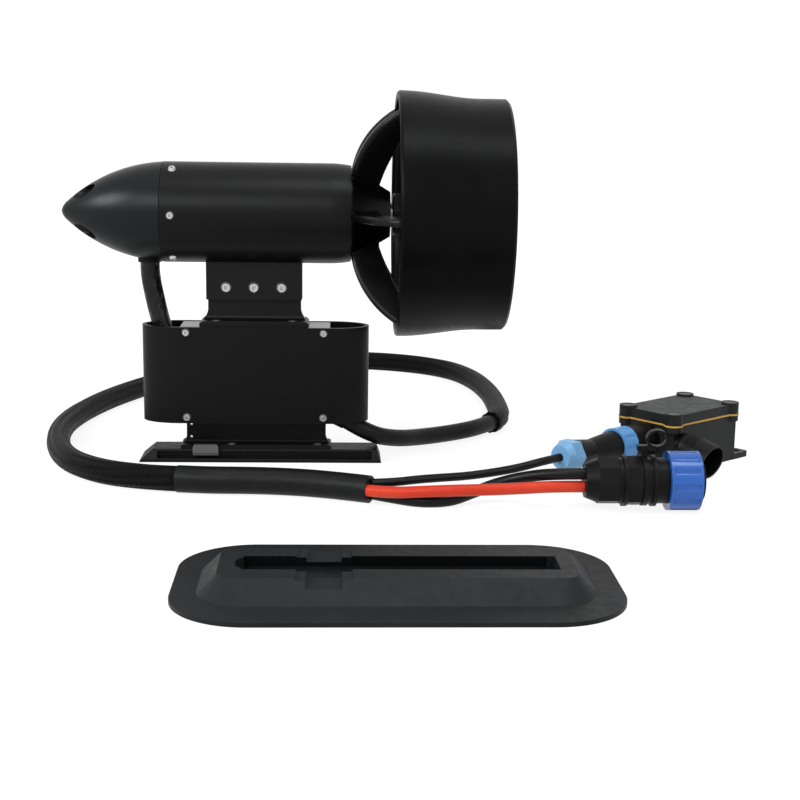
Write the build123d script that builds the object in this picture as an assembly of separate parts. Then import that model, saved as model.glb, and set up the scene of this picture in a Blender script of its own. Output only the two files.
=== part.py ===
from build123d import *
import os
from math import acos, atan2, cos, degrees, pi, radians, sin, sqrt, tan

# Electric outboard motor: a sealed pod motor with a ducted propeller, carried on a pylon over a
# finned controller fairing, with a slide-in fin base, its wiring loom, plugs, control box and fin box pad.
# Millimetres. +X points aft, +Y to port, +Z up. The origin is on the floor under the fairing's centre.

# Motor pod
MOTOR_Z = 176.2
BODY_R = 34.8
HOUSING_FRONT_X = -63.6
HOUSING_REAR_X = 66.7
HOUSING_WALL = 3.0
HOUSING_REAR_R = 33.4
HOUSING_TAPER = 14.0
FIT = 0.1
RUNNING_FIT = 0.05

# Nose cone
NOSE_TIP_X = -134.3
NOSE_BASE_R = 34.6
NOSE_MID = (-101.0, 25.7)
NOSE_SHOULDER = (-129.8, 7.1)
NOSE_TIP_MID = (-133.2, 3.2)
NOSE_TIP_FLAT_R = 0.6
NOSE_WALL = 2.6
NOSE_CAVITY_X = -128.0
NOSE_SEAT_DEPTH = 6.0
NOSE_HOLE_D = 10.4
NOSE_HOLE_RING_R = 16.5
NOSE_HOLE_ANGLES = (53, 178, 303)
SEAM_CHAMFER = 0.5

# Motor internals
BULKHEAD_LENGTH = 14.0
SHAFT_R = 4.0
SHAFT_FRONT_X = -59.0
BEARING_R = 11.0
BEARING_LENGTH = 7.0
STATOR_LENGTH = 52.0
STATOR_X = -2.0
STATOR_R = 21.4
STATOR_SLOTS = 12
SLOT_DEPTH = 5.0
SLOT_WIDTH = 3.0
AIR_GAP = 0.6
WINDING_LENGTH = 7.0
ROTOR_LENGTH = 54.0
REAR_BELL_LENGTH = 13.0

# Rear cage and duct
CAGE_WALL = 2.8
CAGE_SPIGOT = 4.0
CAGE_FRONT_R = 32.0
CAGE_KNEE = (86.3, 20.3)
CAGE_TAIL = (94.0, 15.7)
SEAL_R = 8.0
SEAL_LENGTH = 5.0
STRUTS = 6
STRUT_THICKNESS = 5.4
STRUT_ROUND = 2.0
STRUT_OUTER_MID = (76.4, 59.9)
STRUT_OUTER_END = (98.6, 83.4)
STRUT_INNER_MID = (95.2, 50.0)
STRUT_INNER_END = (114.0, 80.0)
DUCT_FRONT_X = 97.9
DUCT_REAR_X = 174.8
DUCT_LIP_R = 83.2
DUCT_LIP_ROUND = 2.2
DUCT_WAIST = (150.0, 80.5)
DUCT_REAR_R = 80.3
DUCT_THROAT_X = 118.0
DUCT_THROAT_R = 76.2
DUCT_REAR_ROUND = 1.8

# Propeller
HUB_GAP = 1.5
HUB_R = 14.5
HUB_LENGTH = 38.0
HUB_BORE_DEPTH = 34.0
BLADES = 3
BLADE_TIP_GAP = 1.6
BLADE_PITCH = 92.0
BLADE_CENTRE_X = 114.0
BLADE_STATIONS = ((11.0, 22.0, 4.6), (30.0, 32.0, 3.6), (52.0, 40.0, 2.8), (78.0, 38.0, 2.0))
PROP_NUT_LENGTH = 15.0
PROP_NUT_THREAD_R = 3.0
PIN_R = 1.5
PIN_LENGTH = 20.0

# Pylon between the motor and the controller
BRACKET_X = -0.8
SADDLE_LENGTH = 67.0
SADDLE_HALF_WIDTH = 9.0
SADDLE_BOTTOM_Z = 116.0
SLOT_CLEARANCE = 0.1
SLOT_ROOF_GAP = 0.4
PYLON_LENGTH = 65.4
PYLON_WEB = 6.0
PYLON_TOP_Z = 136.0
PYLON_FOOT_LENGTH = 76.4
PYLON_FOOT_HALF_WIDTH = 13.0
PYLON_FOOT_THICKNESS = 4.0
PYLON_FLARE_Z = 108.5
FOOT_FILLET = 3.0
BOLT_PITCH = 19.4
BOLT_Z = 124.7
BOLT_COUNT = 3

# Controller fairing and case
SLEEVE_HALF_WIDTH = 80.1
SLEEVE_HALF_DEPTH = 17.9
SLEEVE_END_AXIS = 27.0
SLEEVE_WALL = 2.5
SLEEVE_BOTTOM_Z = 29.1
SLEEVE_TOP_Z = 97.5
SLEEVE_EDGE = 0.4
SLEEVE_SCREW_X = 48.0
SLEEVE_SCREW_INSET = 3.7
CASE_HALF_LENGTH = 52.5
CASE_CLEARANCE = 0.2
CASE_TOP_Z = 97.2
CASE_BOTTOM_Z = 29.6
CASE_ROOF = 7.0
CASE_WALL = 3.0
CASE_END_WALL = 6.5
BASE_PLATE = 6.4
CASE_SEAL = 0.8
BOARD_THICKNESS = 1.6
BOARD_GROOVE = 1.8
BOARD_BOTTOM_GAP = 1.0
BOARD_TOP_GAP = 6.0
CAPACITOR_R = 4.5
CAPACITOR_LENGTH = 9.0
CAPACITOR_PITCH = 16.0
CAPACITOR_COUNT = 4

# Cable glands on the case
PHASE_CABLE_R = 6.75
PHASE_GLAND_X = -64.0
PHASE_GLAND_Z = 58.0
PHASE_GLAND_TOP_Z = 70.0
PHASE_BEND_LOW_Z = 87.5
PHASE_BEND_HIGH_Z = 131.5
GLAND_WALL = 2.2
POWER_CABLE_R = 6.25
POWER_GLAND_ANGLE = 31.5
POWER_GLAND_Z = 35.6
POWER_GLAND_LENGTH = 14.4
POWER_FIRST_RUN = 20.0
POWER_BOOT_ROOT_WALL = 2.6
POWER_BOOT_TIP_WALL = 0.6
POWER_BOOT_ROOT = 8.0
GROMMET_WALL = 1.6
GROMMET_LENGTH = 5.0
GROMMET_LIP = 0.3

# Lower bracket, fin base and its latch
MOUNT_LENGTH = 99.5
MOUNT_WEB = 5.0
MOUNT_TOP_FLANGE = 2.5
MOUNT_TOP_HALF_WIDTH = 9.0
MOUNT_FOOT = 3.0
MOUNT_FOOT_LENGTH = 107.0
MOUNT_FOOT_HALF_WIDTH = 11.0
MOUNT_FLARE_Z = 17.0
MOUNT_FILLET = 2.0
PIN_HOLE_R = 1.1
PIN_HOLE_INSET = 3.2
PIN_HOLE_HEIGHTS = (15.8, 25.0)
BASE_HEIGHT = 9.0
BASE_TOP_HALF = 11.2
BASE_BOTTOM_HALF = 14.9
BASE_EDGE = 2.0
BASE_FRONT_X = -82.4
BASE_REAR_X = 89.4
BASE_FRONT_SLOPE = 9.2
BASE_REAR_SLOPE = 2.8
BASE_GROOVE_Z = (2.6, 7.6)
BASE_GROOVE_HALF = 9.7
BASE_END_WALL = 6.5
LATCH_X = -35.5
LATCH_WIDTH = 18.0
LATCH_FRONT_Y = -15.5
LATCH_TAB = 3.3
LATCH_TOP_Z = 12.8
LATCH_REAR_Y = 9.5
LATCH_BAR_Z = 5.0
LATCH_TAB_Z = 7.0
LATCH_TRAVEL = 6.0
LATCH_CLEARANCE = 0.25

# Loom: free lengths of cable on the floor, front of the photo towards -Y
BRAID_R = 8.5
SHRINK_R = 9.0
LEAD_R = 3.8
SIGNAL_LEAD_R = 2.8
BEND_SHARE = 0.45
JACKET_ROUTE = [(103, 10, 11.6), (123, 27, 7.8), (144, 42, 7.0), (163, 59.5, 8.55)]
BRAID_ROUTE = [
    (188.4, 100.6, 8.55), (199, 145, 8.55), (203, 208, 8.55), (190, 274, 8.55), (156, 328, 8.55),
    (100, 360, 8.55), (36, 366, 8.55), (-26, 346, 8.55), (-74, 300, 8.55), (-108, 228, 8.55),
    (-137, 160, 8.55), (-153, 92, 8.55), (-152, 26, 8.55), (-134, -36, 8.55), (-106, -72, 8.6),
    (-74, -89.5, 8.9)]
SHRINK_ROUTE = [(-28.5, -100, 9.3), (2, -99.5, 9.1), (32, -103.5, 9.1), (57, -111.5, 9.1)]
SHRINK_END = (79.1, -121.4, 9.1)
BREAKOUT = {"red": (-0.5, 4.2), "black": (-4.4, -2.6), "signal": (4.9, -1.6)}
BREAKOUT_RUNS = {"red": 17.0, "black": 16.5, "signal": 14.0}
RED_ROUTE = [(112, -138, 12.6), (128, -139.8, 12.4), (144, -138.4, 12.2), (160, -135.9, 12.2), (177, -134.6, 13)]
BLACK_ROUTE = [
    (112, -136.6, 4), (131, -130.4, 4), (146.5, -119.6, 7), (163, -116.5, 12.6), (180, -124.3, 18.8)]
SIGNAL_ROUTE = [(108.5, -118.8, 7.4), (124, -110, 8.2), (142, -103, 10), (160, -98.8, 13), (177, -101, 18)]
PLUG_LEAD_RUNS = {"red": 19.0, "black": 19.0}
SIGNAL_LAST_RUN = 17.0

# Battery plug, lying on the floor along X
PLUG_Y = -135.8
PLUG_Z = 19.4
PLUG_FRONT_X = 215.0
PLUG_NUT_LENGTH = 21.0
PLUG_NUT_R = 15.2
PLUG_BODY_R = 14.6
PLUG_BODY_END_X = 267.2
PLUG_RIB_R = 16.4
PLUG_RIB_LENGTH = 2.6
PLUG_RIBS_X = (238.6, 257.2)
PLUG_FLAT_COUNT = 8
PLUG_OCTAGON_LENGTH = 9.0
PLUG_THREAD_R = 12.0
LEAD_PITCH = 8.4
COUPLING_R = 18.9
COUPLING_START_X = 267.6
COUPLING_LENGTH = 20.0
COUPLING_WALL = 2.6
COUPLING_RIBS = 12
COUPLING_RIB_DEPTH = 1.1
INSERT_R = 12.6
INSERT_COLLAR = 15.6
INSERT_END_X = 290.4
INSERT_BORE_R = 10.8
INSERT_BORE_DEPTH = 20.0
CONTACT_R = 2.6
RING_CLEARANCE = 0.3
STRAP_X = 252.6
STRAP_WIDTH = 3.4
STRAP_THICKNESS = 1.4
STRAP_STEM = 5.4
STRAP_HEAD = (11.4, 5.0, 3.4)
STRAP_LOOP = (7.0, 6.0)
STRAP_LOOP_OFFSET = 7.8
STRAP_LOOP_HALF_DEPTH = 2.6

# Control box
BOX_X = 305.5
BOX_Y = -4.1
BOX_YAW = 39.6
BOX_LENGTH = 77.7
BOX_WIDTH = 52.3
BOX_BODY_HEIGHT = 33.8
GASKET_HEIGHT = 1.2
GASKET_PROUD = 0.4
LID_HEIGHT = 6.8
LID_BOSS_HEIGHT = 1.2
BOX_LOBE_HEIGHT = 4.3
BOX_WALL = 2.6
BOX_FLOOR = 3.0
CORNER_R = 6.4
CORNER_INSET = 5.9
CORNER_NECK = 4.6
BOX_SCREW_R = 1.6
BOX_SCREW_DEPTH = 16.0
EAR_LENGTH = 15.5
EAR_WIDTH = 13.0
EAR_THICKNESS = 4.0
EAR_HOLE_R = 2.7
EAR_OFFSET = 17.5
STANDOFF_HEIGHT = 5.0
STANDOFF_R = 3.0
STANDOFF_X = 24.0
STANDOFF_Y = 12.0
SOCKET_X = -27.5
SOCKET_Z = 20.0
SOCKET_DROOP = 15.0
SOCKET_FLANGE_R = 8.9
SOCKET_FLANGE = 3.0
SOCKET_BARREL_R = 12.4
SOCKET_STEP = 5.5
SOCKET_LENGTH = 28.0
SOCKET_BORE_R = 11.0
SOCKET_BORE_DEPTH = 22.0
SOCKET_LUG = (5.0, 7.5, 2.2)
SIGNAL_Z = 22.0
SIGNAL_FLANGE_R = 11.6
SIGNAL_FLANGE = 4.0
SIGNAL_BARREL_R = 9.2
SIGNAL_BARREL_END = 28.0
SIGNAL_RING_START = 21.0
SIGNAL_RING_LENGTH = 13.5
SIGNAL_RING_R = 12.2
SIGNAL_RIBS = 10
SIGNAL_RIB_DEPTH = 0.8
SIGNAL_BODY_END = 75.0
SIGNAL_THREAD_R = 6.4
SIGNAL_NUT_R = 11.4
SIGNAL_NUT_LENGTH = 14.0
THREAD_LENGTH = 9.0
NUT_FACETS = 8

# Fin box pad
PAD_X = 90.0
PAD_Y = -285.0
PAD_LENGTH = 238.0
PAD_WIDTH = 130.0
PAD_CORNER = 42.0
PAD_FLANGE = 2.5
PAD_BODY_LENGTH = 212.0
PAD_BODY_WIDTH = 84.0
PAD_BODY_CORNER = 26.0
PAD_TOP_LENGTH = 190.0
PAD_TOP_WIDTH = 52.0
PAD_TOP_CORNER = 9.0
PAD_FLOOR = 3.5
PAD_CLEARANCE = 0.4
PAD_HOLE_R = 5.0
PAD_HOLE_PITCH = 140.0
PAD_NOTCH_HALF_DEPTH = 33.0
PAD_RELIEF_WIDTH = 30.0
PAD_RELIEF_DEPTH = 1.0

# Fasteners: head radius, head height, shank radius, hex socket radius
M3 = (2.85, 1.7, 1.5, 1.1)
M4 = (4.0, 2.4, 2.0, 1.4)
SCREW_CLEARANCE = 0.15
CSK_HEAD_R = 3.0
CSK_HEAD_HEIGHT = 1.7
HOUSING_SCREW_X = -55.8
HOUSING_SCREWS = 6
NUT_HEIGHT = 4.0
NUT_R = 4.0

PARTS = {}
motor_plane = Plane(origin=(0, 0, MOTOR_Z), x_dir=(1, 0, 0), z_dir=(0, -1, 0))
motor_axis = Axis((0, 0, MOTOR_Z), (1, 0, 0))
box_plane = Plane(
    origin=(BOX_X, BOX_Y, 0),
    x_dir=(cos(radians(BOX_YAW)), sin(radians(BOX_YAW)), 0),
    z_dir=(0, 0, 1))


def turned(*points):
    """Body of revolution about the motor axis from an (X, radius) outline."""
    return revolve(motor_plane * make_face(Polyline(*points, close=True)), motor_axis)


def turned_edges(edges):
    return revolve(motor_plane * make_face(edges), motor_axis)


def rod(start, end, radius):
    """Cylinder between two points."""
    axis = Vector(*end) - Vector(*start)
    return extrude(Plane(origin=start, z_dir=axis) * Circle(radius), axis.length)


def block(x0, x1, y0, y1, z0, z1):
    return Pos((x0 + x1) / 2, (y0 + y1) / 2, (z0 + z1) / 2) * Box(x1 - x0, y1 - y0, z1 - z0)


def around_motor(shape, angle):
    return shape.rotate(motor_axis, angle)


def spun(count, make, start=0.0):
    """Copies of make() at equal angles about the motor axis."""
    return [around_motor(make(), start + k * 360 / count) for k in range(count)]


def screw(size, length):
    """Button screw along +Z: the head's underside is at z = 0 and the shank runs down."""
    head_r, head_height, shank_r, hex_r = size
    head = Cone(head_r, head_r * 0.72, head_height, align=(Align.CENTER, Align.CENTER, Align.MIN))
    shank = Pos(0, 0, -length / 2) * Cylinder(shank_r, length)
    recess = Pos(0, 0, head_height * 0.4) * extrude(RegularPolygon(hex_r, 6), head_height)
    return head + shank - recess


def countersunk(length):
    """Countersunk screw along +Z with its flat top at z = 0."""
    shank_r = M3[2]
    head = Pos(0, 0, -CSK_HEAD_HEIGHT / 2) * Cone(shank_r, CSK_HEAD_R, CSK_HEAD_HEIGHT)
    shank = Pos(0, 0, -length / 2) * Cylinder(shank_r, length)
    recess = Pos(0, 0, -CSK_HEAD_HEIGHT * 0.6) * extrude(RegularPolygon(M3[3], 6), CSK_HEAD_HEIGHT)
    return head + shank - recess


def countersunk_hole(length):
    grow = SCREW_CLEARANCE
    head = Pos(0, 0, -CSK_HEAD_HEIGHT / 2 + grow / 2) * Cone(
        M3[2] + grow, CSK_HEAD_R + 2 * grow, CSK_HEAD_HEIGHT + grow)
    return head + Pos(0, 0, -length / 2) * Cylinder(M3[2] + grow, length + 2 * grow)


def placed(shape, point, direction):
    """Local +Z onto a direction, local origin onto a point."""
    return Plane(origin=point, z_dir=direction) * shape


def group(shapes):
    return Compound(children=[s for shape in shapes for s in shape.solids()])


def keep(name, shape):
    PARTS[name] = shape


def nose_circle():
    """Centre and radius of the circle through the nose's base, middle and shoulder."""
    (x1, y1), (x2, y2), (x3, y3) = (HOUSING_FRONT_X, NOSE_BASE_R), NOSE_MID, NOSE_SHOULDER
    a = 2 * (x2 - x1)
    b = 2 * (y2 - y1)
    c = x2**2 - x1**2 + y2**2 - y1**2
    d = 2 * (x3 - x1)
    e = 2 * (y3 - y1)
    f = x3**2 - x1**2 + y3**2 - y1**2
    cx = (c * e - b * f) / (a * e - b * d)
    cy = (a * f - c * d) / (a * e - b * d)
    return cx, cy, sqrt((x1 - cx) ** 2 + (y1 - cy) ** 2)


NOSE_CX, NOSE_CY, NOSE_ARC_R = nose_circle()


def nose_inner_r(x):
    """Radius of the nose's inner wall at x."""
    return NOSE_CY + sqrt((NOSE_ARC_R - NOSE_WALL) ** 2 - (x - NOSE_CX) ** 2)


PHASE_EXIT_X = -74.0
SEAT_R = nose_inner_r(HOUSING_FRONT_X - NOSE_SEAT_DEPTH)
PHASE_CABLE_TOP_Z = MOTOR_Z - nose_inner_r(PHASE_EXIT_X) + GROMMET_LENGTH
PHASE_HOLE_R = PHASE_CABLE_R + GROMMET_WALL


def make_nose_cone():
    base = (HOUSING_FRONT_X, NOSE_BASE_R)
    tip = (NOSE_TIP_X, NOSE_TIP_FLAT_R)
    outer = ThreePointArc(base, NOSE_MID, NOSE_SHOULDER)
    outer += ThreePointArc(NOSE_SHOULDER, NOSE_TIP_MID, tip)
    outer += Polyline(tip, (NOSE_TIP_X, 0), (HOUSING_FRONT_X, 0), base)
    shell = turned_edges(outer)
    seat_x = HOUSING_FRONT_X - NOSE_SEAT_DEPTH
    middle_x = (seat_x + NOSE_CAVITY_X) / 2
    end = (NOSE_CAVITY_X, nose_inner_r(NOSE_CAVITY_X))
    inner = ThreePointArc((seat_x, SEAT_R), (middle_x, nose_inner_r(middle_x)), end)
    inner += Polyline(end, (NOSE_CAVITY_X, 0), (HOUSING_FRONT_X, 0), (HOUSING_FRONT_X, SEAT_R),
                      (seat_x, SEAT_R))
    shell -= turned_edges(inner)
    for angle in NOSE_HOLE_ANGLES:
        hole = rod((NOSE_TIP_X, -NOSE_HOLE_RING_R, MOTOR_Z), (NOSE_MID[0], -NOSE_HOLE_RING_R, MOTOR_Z),
                   NOSE_HOLE_D / 2)
        shell -= around_motor(hole, angle)
    shell -= rod((PHASE_EXIT_X, 0, MOTOR_Z - BODY_R - 5), (PHASE_EXIT_X, 0, MOTOR_Z), PHASE_HOLE_R)
    keep("nose_cone", shell)


def make_nose_grommet():
    bottom = MOTOR_Z - NOSE_BASE_R - GROMMET_LIP
    tube = rod((PHASE_EXIT_X, 0, bottom), (PHASE_EXIT_X, 0, PHASE_CABLE_TOP_Z), PHASE_HOLE_R - FIT)
    tube -= rod((PHASE_EXIT_X, 0, bottom - 1), (PHASE_EXIT_X, 0, PHASE_CABLE_TOP_Z + 1), PHASE_CABLE_R)
    keep("nose_grommet", tube)


def make_housing():
    bore = BODY_R - HOUSING_WALL
    taper_x = HOUSING_REAR_X - HOUSING_TAPER
    outline = Polyline((HOUSING_FRONT_X, bore), (HOUSING_FRONT_X, BODY_R - SEAM_CHAMFER),
                       (HOUSING_FRONT_X + SEAM_CHAMFER, BODY_R), (taper_x, BODY_R))
    outline += ThreePointArc((taper_x, BODY_R),
                             (HOUSING_REAR_X - HOUSING_TAPER * 0.42, BODY_R - (BODY_R - HOUSING_REAR_R) * 0.38),
                             (HOUSING_REAR_X, HOUSING_REAR_R))
    outline += Polyline((HOUSING_REAR_X, HOUSING_REAR_R), (HOUSING_REAR_X, bore), (HOUSING_FRONT_X, bore))
    tube = turned_edges(outline)
    for k in range(HOUSING_SCREWS):
        hole = rod((HOUSING_SCREW_X, -bore + 2, MOTOR_Z), (HOUSING_SCREW_X, -BODY_R - 2, MOTOR_Z),
                   M3[2] + SCREW_CLEARANCE)
        tube -= around_motor(hole, k * 360 / HOUSING_SCREWS)
    keep("motor_housing", tube)


def make_housing_screws():
    length = HOUSING_WALL + 4.0

    def one():
        return placed(screw(M3, length), (HOUSING_SCREW_X, -BODY_R, MOTOR_Z), (0, -1, 0))

    keep("housing_screws", group(spun(HOUSING_SCREWS, one)))


def make_front_bulkhead():
    bore = BODY_R - HOUSING_WALL - FIT
    front = HOUSING_FRONT_X - NOSE_SEAT_DEPTH
    rear = HOUSING_FRONT_X + BULKHEAD_LENGTH
    seat = rear - BEARING_LENGTH
    bulkhead = turned((front, 0), (front, SEAT_R - FIT), (HOUSING_FRONT_X, SEAT_R - FIT),
                      (HOUSING_FRONT_X, bore), (rear, bore), (rear, BEARING_R), (seat, BEARING_R),
                      (seat, SHAFT_R + 1), (SHAFT_FRONT_X - 1, SHAFT_R + 1), (SHAFT_FRONT_X - 1, 0))
    for k in range(HOUSING_SCREWS):
        hole = rod((HOUSING_SCREW_X, -bore + 6, MOTOR_Z), (HOUSING_SCREW_X, -bore - 1, MOTOR_Z),
                   M3[2] + SCREW_CLEARANCE)
        bulkhead -= around_motor(hole, k * 360 / HOUSING_SCREWS)
    notch = PHASE_HOLE_R
    bulkhead -= rod((PHASE_EXIT_X, 0, MOTOR_Z - BODY_R), (PHASE_EXIT_X, 0, MOTOR_Z - 12), notch)
    keep("front_bulkhead", bulkhead)


def bearing(start_x):
    inner = SHAFT_R + RUNNING_FIT
    outer = BEARING_R - 0.02
    end_x = start_x + BEARING_LENGTH
    return turned((start_x, inner), (start_x, outer), (end_x, outer), (end_x, inner))


def make_bearings():
    keep("front_bearing", bearing(HOUSING_FRONT_X + BULKHEAD_LENGTH - BEARING_LENGTH))
    keep("rear_bearing", bearing(HOUSING_REAR_X - REAR_BELL_LENGTH))


def make_stator():
    outer = BODY_R - HOUSING_WALL - 0.02
    x0 = STATOR_X - STATOR_LENGTH / 2
    x1 = STATOR_X + STATOR_LENGTH / 2
    stack = turned((x0, STATOR_R), (x0, outer), (x1, outer), (x1, STATOR_R))
    slot = block(x0 - 1, x1 + 1, -STATOR_R - SLOT_DEPTH, -STATOR_R + 2,
                 MOTOR_Z - SLOT_WIDTH / 2, MOTOR_Z + SLOT_WIDTH / 2)
    for k in range(STATOR_SLOTS):
        stack -= around_motor(slot, k * 360 / STATOR_SLOTS)
    keep("stator", stack)
    coil_in = STATOR_R + 1.5
    coil_out = outer - 2.0
    front = turned((x0 - WINDING_LENGTH, coil_in), (x0 - WINDING_LENGTH, coil_out),
                   (x0, coil_out), (x0, coil_in))
    rear = turned((x1, coil_in), (x1, coil_out), (x1 + WINDING_LENGTH, coil_out),
                  (x1 + WINDING_LENGTH, coil_in))
    keep("stator_windings", group([front, rear]))


def make_rotor():
    half = ROTOR_LENGTH / 2
    outer = STATOR_R - AIR_GAP
    inner = SHAFT_R
    keep("rotor", turned((STATOR_X - half, inner), (STATOR_X - half, outer),
                         (STATOR_X + half, outer), (STATOR_X + half, inner)))


def cage_inner(x, r):
    return (x, r - CAGE_WALL)


def make_rear_bell():
    bore = BODY_R - HOUSING_WALL - FIT
    seat_x = HOUSING_REAR_X - REAR_BELL_LENGTH
    bearing_end = seat_x + BEARING_LENGTH
    seal_x = CAGE_TAIL[0] - SEAL_LENGTH - 1
    gap = FIT
    knee = (CAGE_KNEE[0], CAGE_KNEE[1] - CAGE_WALL - gap)
    tail = (CAGE_TAIL[0] - 1, CAGE_TAIL[1] - CAGE_WALL - gap)
    spigot_x = HOUSING_REAR_X - CAGE_SPIGOT
    cone_r = CAGE_FRONT_R - CAGE_WALL - gap
    keep("rear_bell", turned(
        (seat_x, BEARING_R), (seat_x, bore), (spigot_x - gap, bore), (spigot_x - gap, cone_r),
        (HOUSING_REAR_X, cone_r), knee, tail, (tail[0], SEAL_R), (seal_x, SEAL_R),
        (seal_x, SHAFT_R + 1), (bearing_end, SHAFT_R + 1), (bearing_end, BEARING_R)))
    inner = SHAFT_R + RUNNING_FIT
    keep("shaft_seal", turned((seal_x, inner), (seal_x, SEAL_R - 0.02),
                              (tail[0], SEAL_R - 0.02), (tail[0], inner)))


def duct_solid():
    lip_x = DUCT_FRONT_X + DUCT_LIP_ROUND
    top = (lip_x, DUCT_LIP_R + DUCT_LIP_ROUND)
    low = (lip_x, DUCT_LIP_R - DUCT_LIP_ROUND)
    rear_top = (DUCT_REAR_X - DUCT_REAR_ROUND, DUCT_REAR_R)
    rear_low = (DUCT_REAR_X - DUCT_REAR_ROUND, DUCT_THROAT_R)
    outline = ThreePointArc(low, (DUCT_FRONT_X, DUCT_LIP_R), top)
    outline += Spline(top, DUCT_WAIST, rear_top, tangents=[(1, 0), (1, -0.03)])
    outline += Polyline(rear_top, (DUCT_REAR_X, DUCT_REAR_R - DUCT_REAR_ROUND),
                        (DUCT_REAR_X, DUCT_THROAT_R + DUCT_REAR_ROUND / 3), rear_low)
    outline += Line(rear_low, (DUCT_THROAT_X, DUCT_THROAT_R))
    outline += Spline((DUCT_THROAT_X, DUCT_THROAT_R), low, tangents=[(-1, 0), (-1, 0.9)])
    return turned_edges(outline)


def strut_blank():
    """One arched strut, in the half plane that points to -Y."""
    plane = Plane(origin=(0, 0, MOTOR_Z), x_dir=(1, 0, 0), z_dir=(0, 0, 1))
    front_foot = (HOUSING_REAR_X + 0.3, CAGE_FRONT_R + 2.0)
    rear_foot = (CAGE_KNEE[0], CAGE_KNEE[1] + 4.7)
    root_front = (HOUSING_REAR_X + 0.3, CAGE_FRONT_R - 1.5)
    root_rear = (CAGE_KNEE[0], CAGE_KNEE[1] - 1.5)
    outline = ThreePointArc(front_foot, STRUT_OUTER_MID, STRUT_OUTER_END)
    outline += Line(STRUT_OUTER_END, STRUT_INNER_END)
    outline += ThreePointArc(STRUT_INNER_END, STRUT_INNER_MID, rear_foot)
    outline += Polyline(rear_foot, root_rear, root_front, front_foot)
    face = plane * make_face(outline)
    plate = extrude(face, STRUT_THICKNESS / 2, both=True)
    rims = plate.edges().filter_by(GeomType.CIRCLE)
    plate = fillet(rims, STRUT_ROUND)
    return around_motor(plate, 180)


def make_cage_and_duct():
    duct = duct_solid()
    spigot_x = HOUSING_REAR_X - CAGE_SPIGOT
    bore = BODY_R - HOUSING_WALL - FIT
    inner_front = CAGE_FRONT_R - CAGE_WALL
    cone = turned(
        (spigot_x, inner_front), (spigot_x, bore), (HOUSING_REAR_X, bore),
        (HOUSING_REAR_X, CAGE_FRONT_R), CAGE_KNEE, CAGE_TAIL,
        (CAGE_TAIL[0], CAGE_TAIL[1] - CAGE_WALL), (CAGE_KNEE[0], CAGE_KNEE[1] - CAGE_WALL),
        (HOUSING_REAR_X, inner_front))
    cage = cone
    for strut in spun(STRUTS, strut_blank):
        cage += strut
    cage -= duct
    keep("strut_cage", cage)
    keep("duct_ring", duct)


HUB_FRONT_X = CAGE_TAIL[0] + HUB_GAP
HUB_REAR_X = HUB_FRONT_X + HUB_LENGTH
SHAFT_REAR_X = HUB_REAR_X + PROP_NUT_LENGTH * 0.6
PIN_X = HUB_FRONT_X + 8.0


def blade_section(radius, chord, thickness):
    """Cambered lens section of a blade, set square to the blade's span."""
    twist = atan2(BLADE_PITCH, 2 * pi * radius)
    plane = Plane(origin=(BLADE_CENTRE_X, 0, MOTOR_Z + radius),
                  x_dir=(sin(twist), cos(twist), 0), z_dir=(0, 0, 1))
    camber = thickness * 0.9
    half = chord / 2
    section = ThreePointArc((-half, 0), (0, camber + thickness / 2), (half, 0))
    section += ThreePointArc((half, 0), (0, camber - thickness / 2), (-half, 0))
    return plane * make_face(section)


def make_propeller():
    blade = loft([blade_section(*station) for station in BLADE_STATIONS])
    tip_r = DUCT_THROAT_R - BLADE_TIP_GAP
    blade &= rod((HUB_FRONT_X - 20, 0, MOTOR_Z), (HUB_REAR_X + 20, 0, MOTOR_Z), tip_r)
    front = HUB_FRONT_X
    prop = turned((front, 0), (front, HUB_R - 1.2), (front + 1.2, HUB_R), (HUB_REAR_X, HUB_R), (HUB_REAR_X, 0))
    for k in range(BLADES):
        prop += around_motor(blade, k * 360 / BLADES)
    prop -= rod((front - 1, 0, MOTOR_Z), (front + HUB_BORE_DEPTH, 0, MOTOR_Z), SHAFT_R + FIT)
    prop -= rod((front, 0, MOTOR_Z), (HUB_REAR_X + 1, 0, MOTOR_Z), PROP_NUT_THREAD_R + FIT)
    prop -= rod((PIN_X, 0, MOTOR_Z - PIN_LENGTH / 2 - FIT), (PIN_X, 0, MOTOR_Z + PIN_LENGTH / 2 + FIT), PIN_R + FIT)
    keep("propeller", prop)


def make_shaft():
    shoulder = HUB_FRONT_X + HUB_BORE_DEPTH - FIT
    shaft = turned((SHAFT_FRONT_X, 0), (SHAFT_FRONT_X, SHAFT_R - 0.4), (SHAFT_FRONT_X + 0.4, SHAFT_R),
                   (shoulder, SHAFT_R), (shoulder, PROP_NUT_THREAD_R), (SHAFT_REAR_X, PROP_NUT_THREAD_R),
                   (SHAFT_REAR_X, 0))
    shaft -= rod((PIN_X, 0, MOTOR_Z - HUB_R), (PIN_X, 0, MOTOR_Z + HUB_R), PIN_R)
    keep("motor_shaft", shaft)
    pin = rod((PIN_X, 0, MOTOR_Z - PIN_LENGTH / 2), (PIN_X, 0, MOTOR_Z + PIN_LENGTH / 2), PIN_R)
    keep("drive_pin", pin)
    rear = HUB_REAR_X + PROP_NUT_LENGTH
    dome = Polyline((HUB_REAR_X, PROP_NUT_THREAD_R + FIT), (HUB_REAR_X, HUB_R))
    dome += ThreePointArc((HUB_REAR_X, HUB_R), (HUB_REAR_X + PROP_NUT_LENGTH * 0.62, HUB_R * 0.78), (rear, 3.0))
    dome += Polyline((rear, 3.0), (rear, 0), (SHAFT_REAR_X + 0.5, 0),
                     (SHAFT_REAR_X + 0.5, PROP_NUT_THREAD_R + FIT), (HUB_REAR_X, PROP_NUT_THREAD_R + FIT))
    keep("prop_nut", turned_edges(dome))


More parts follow.
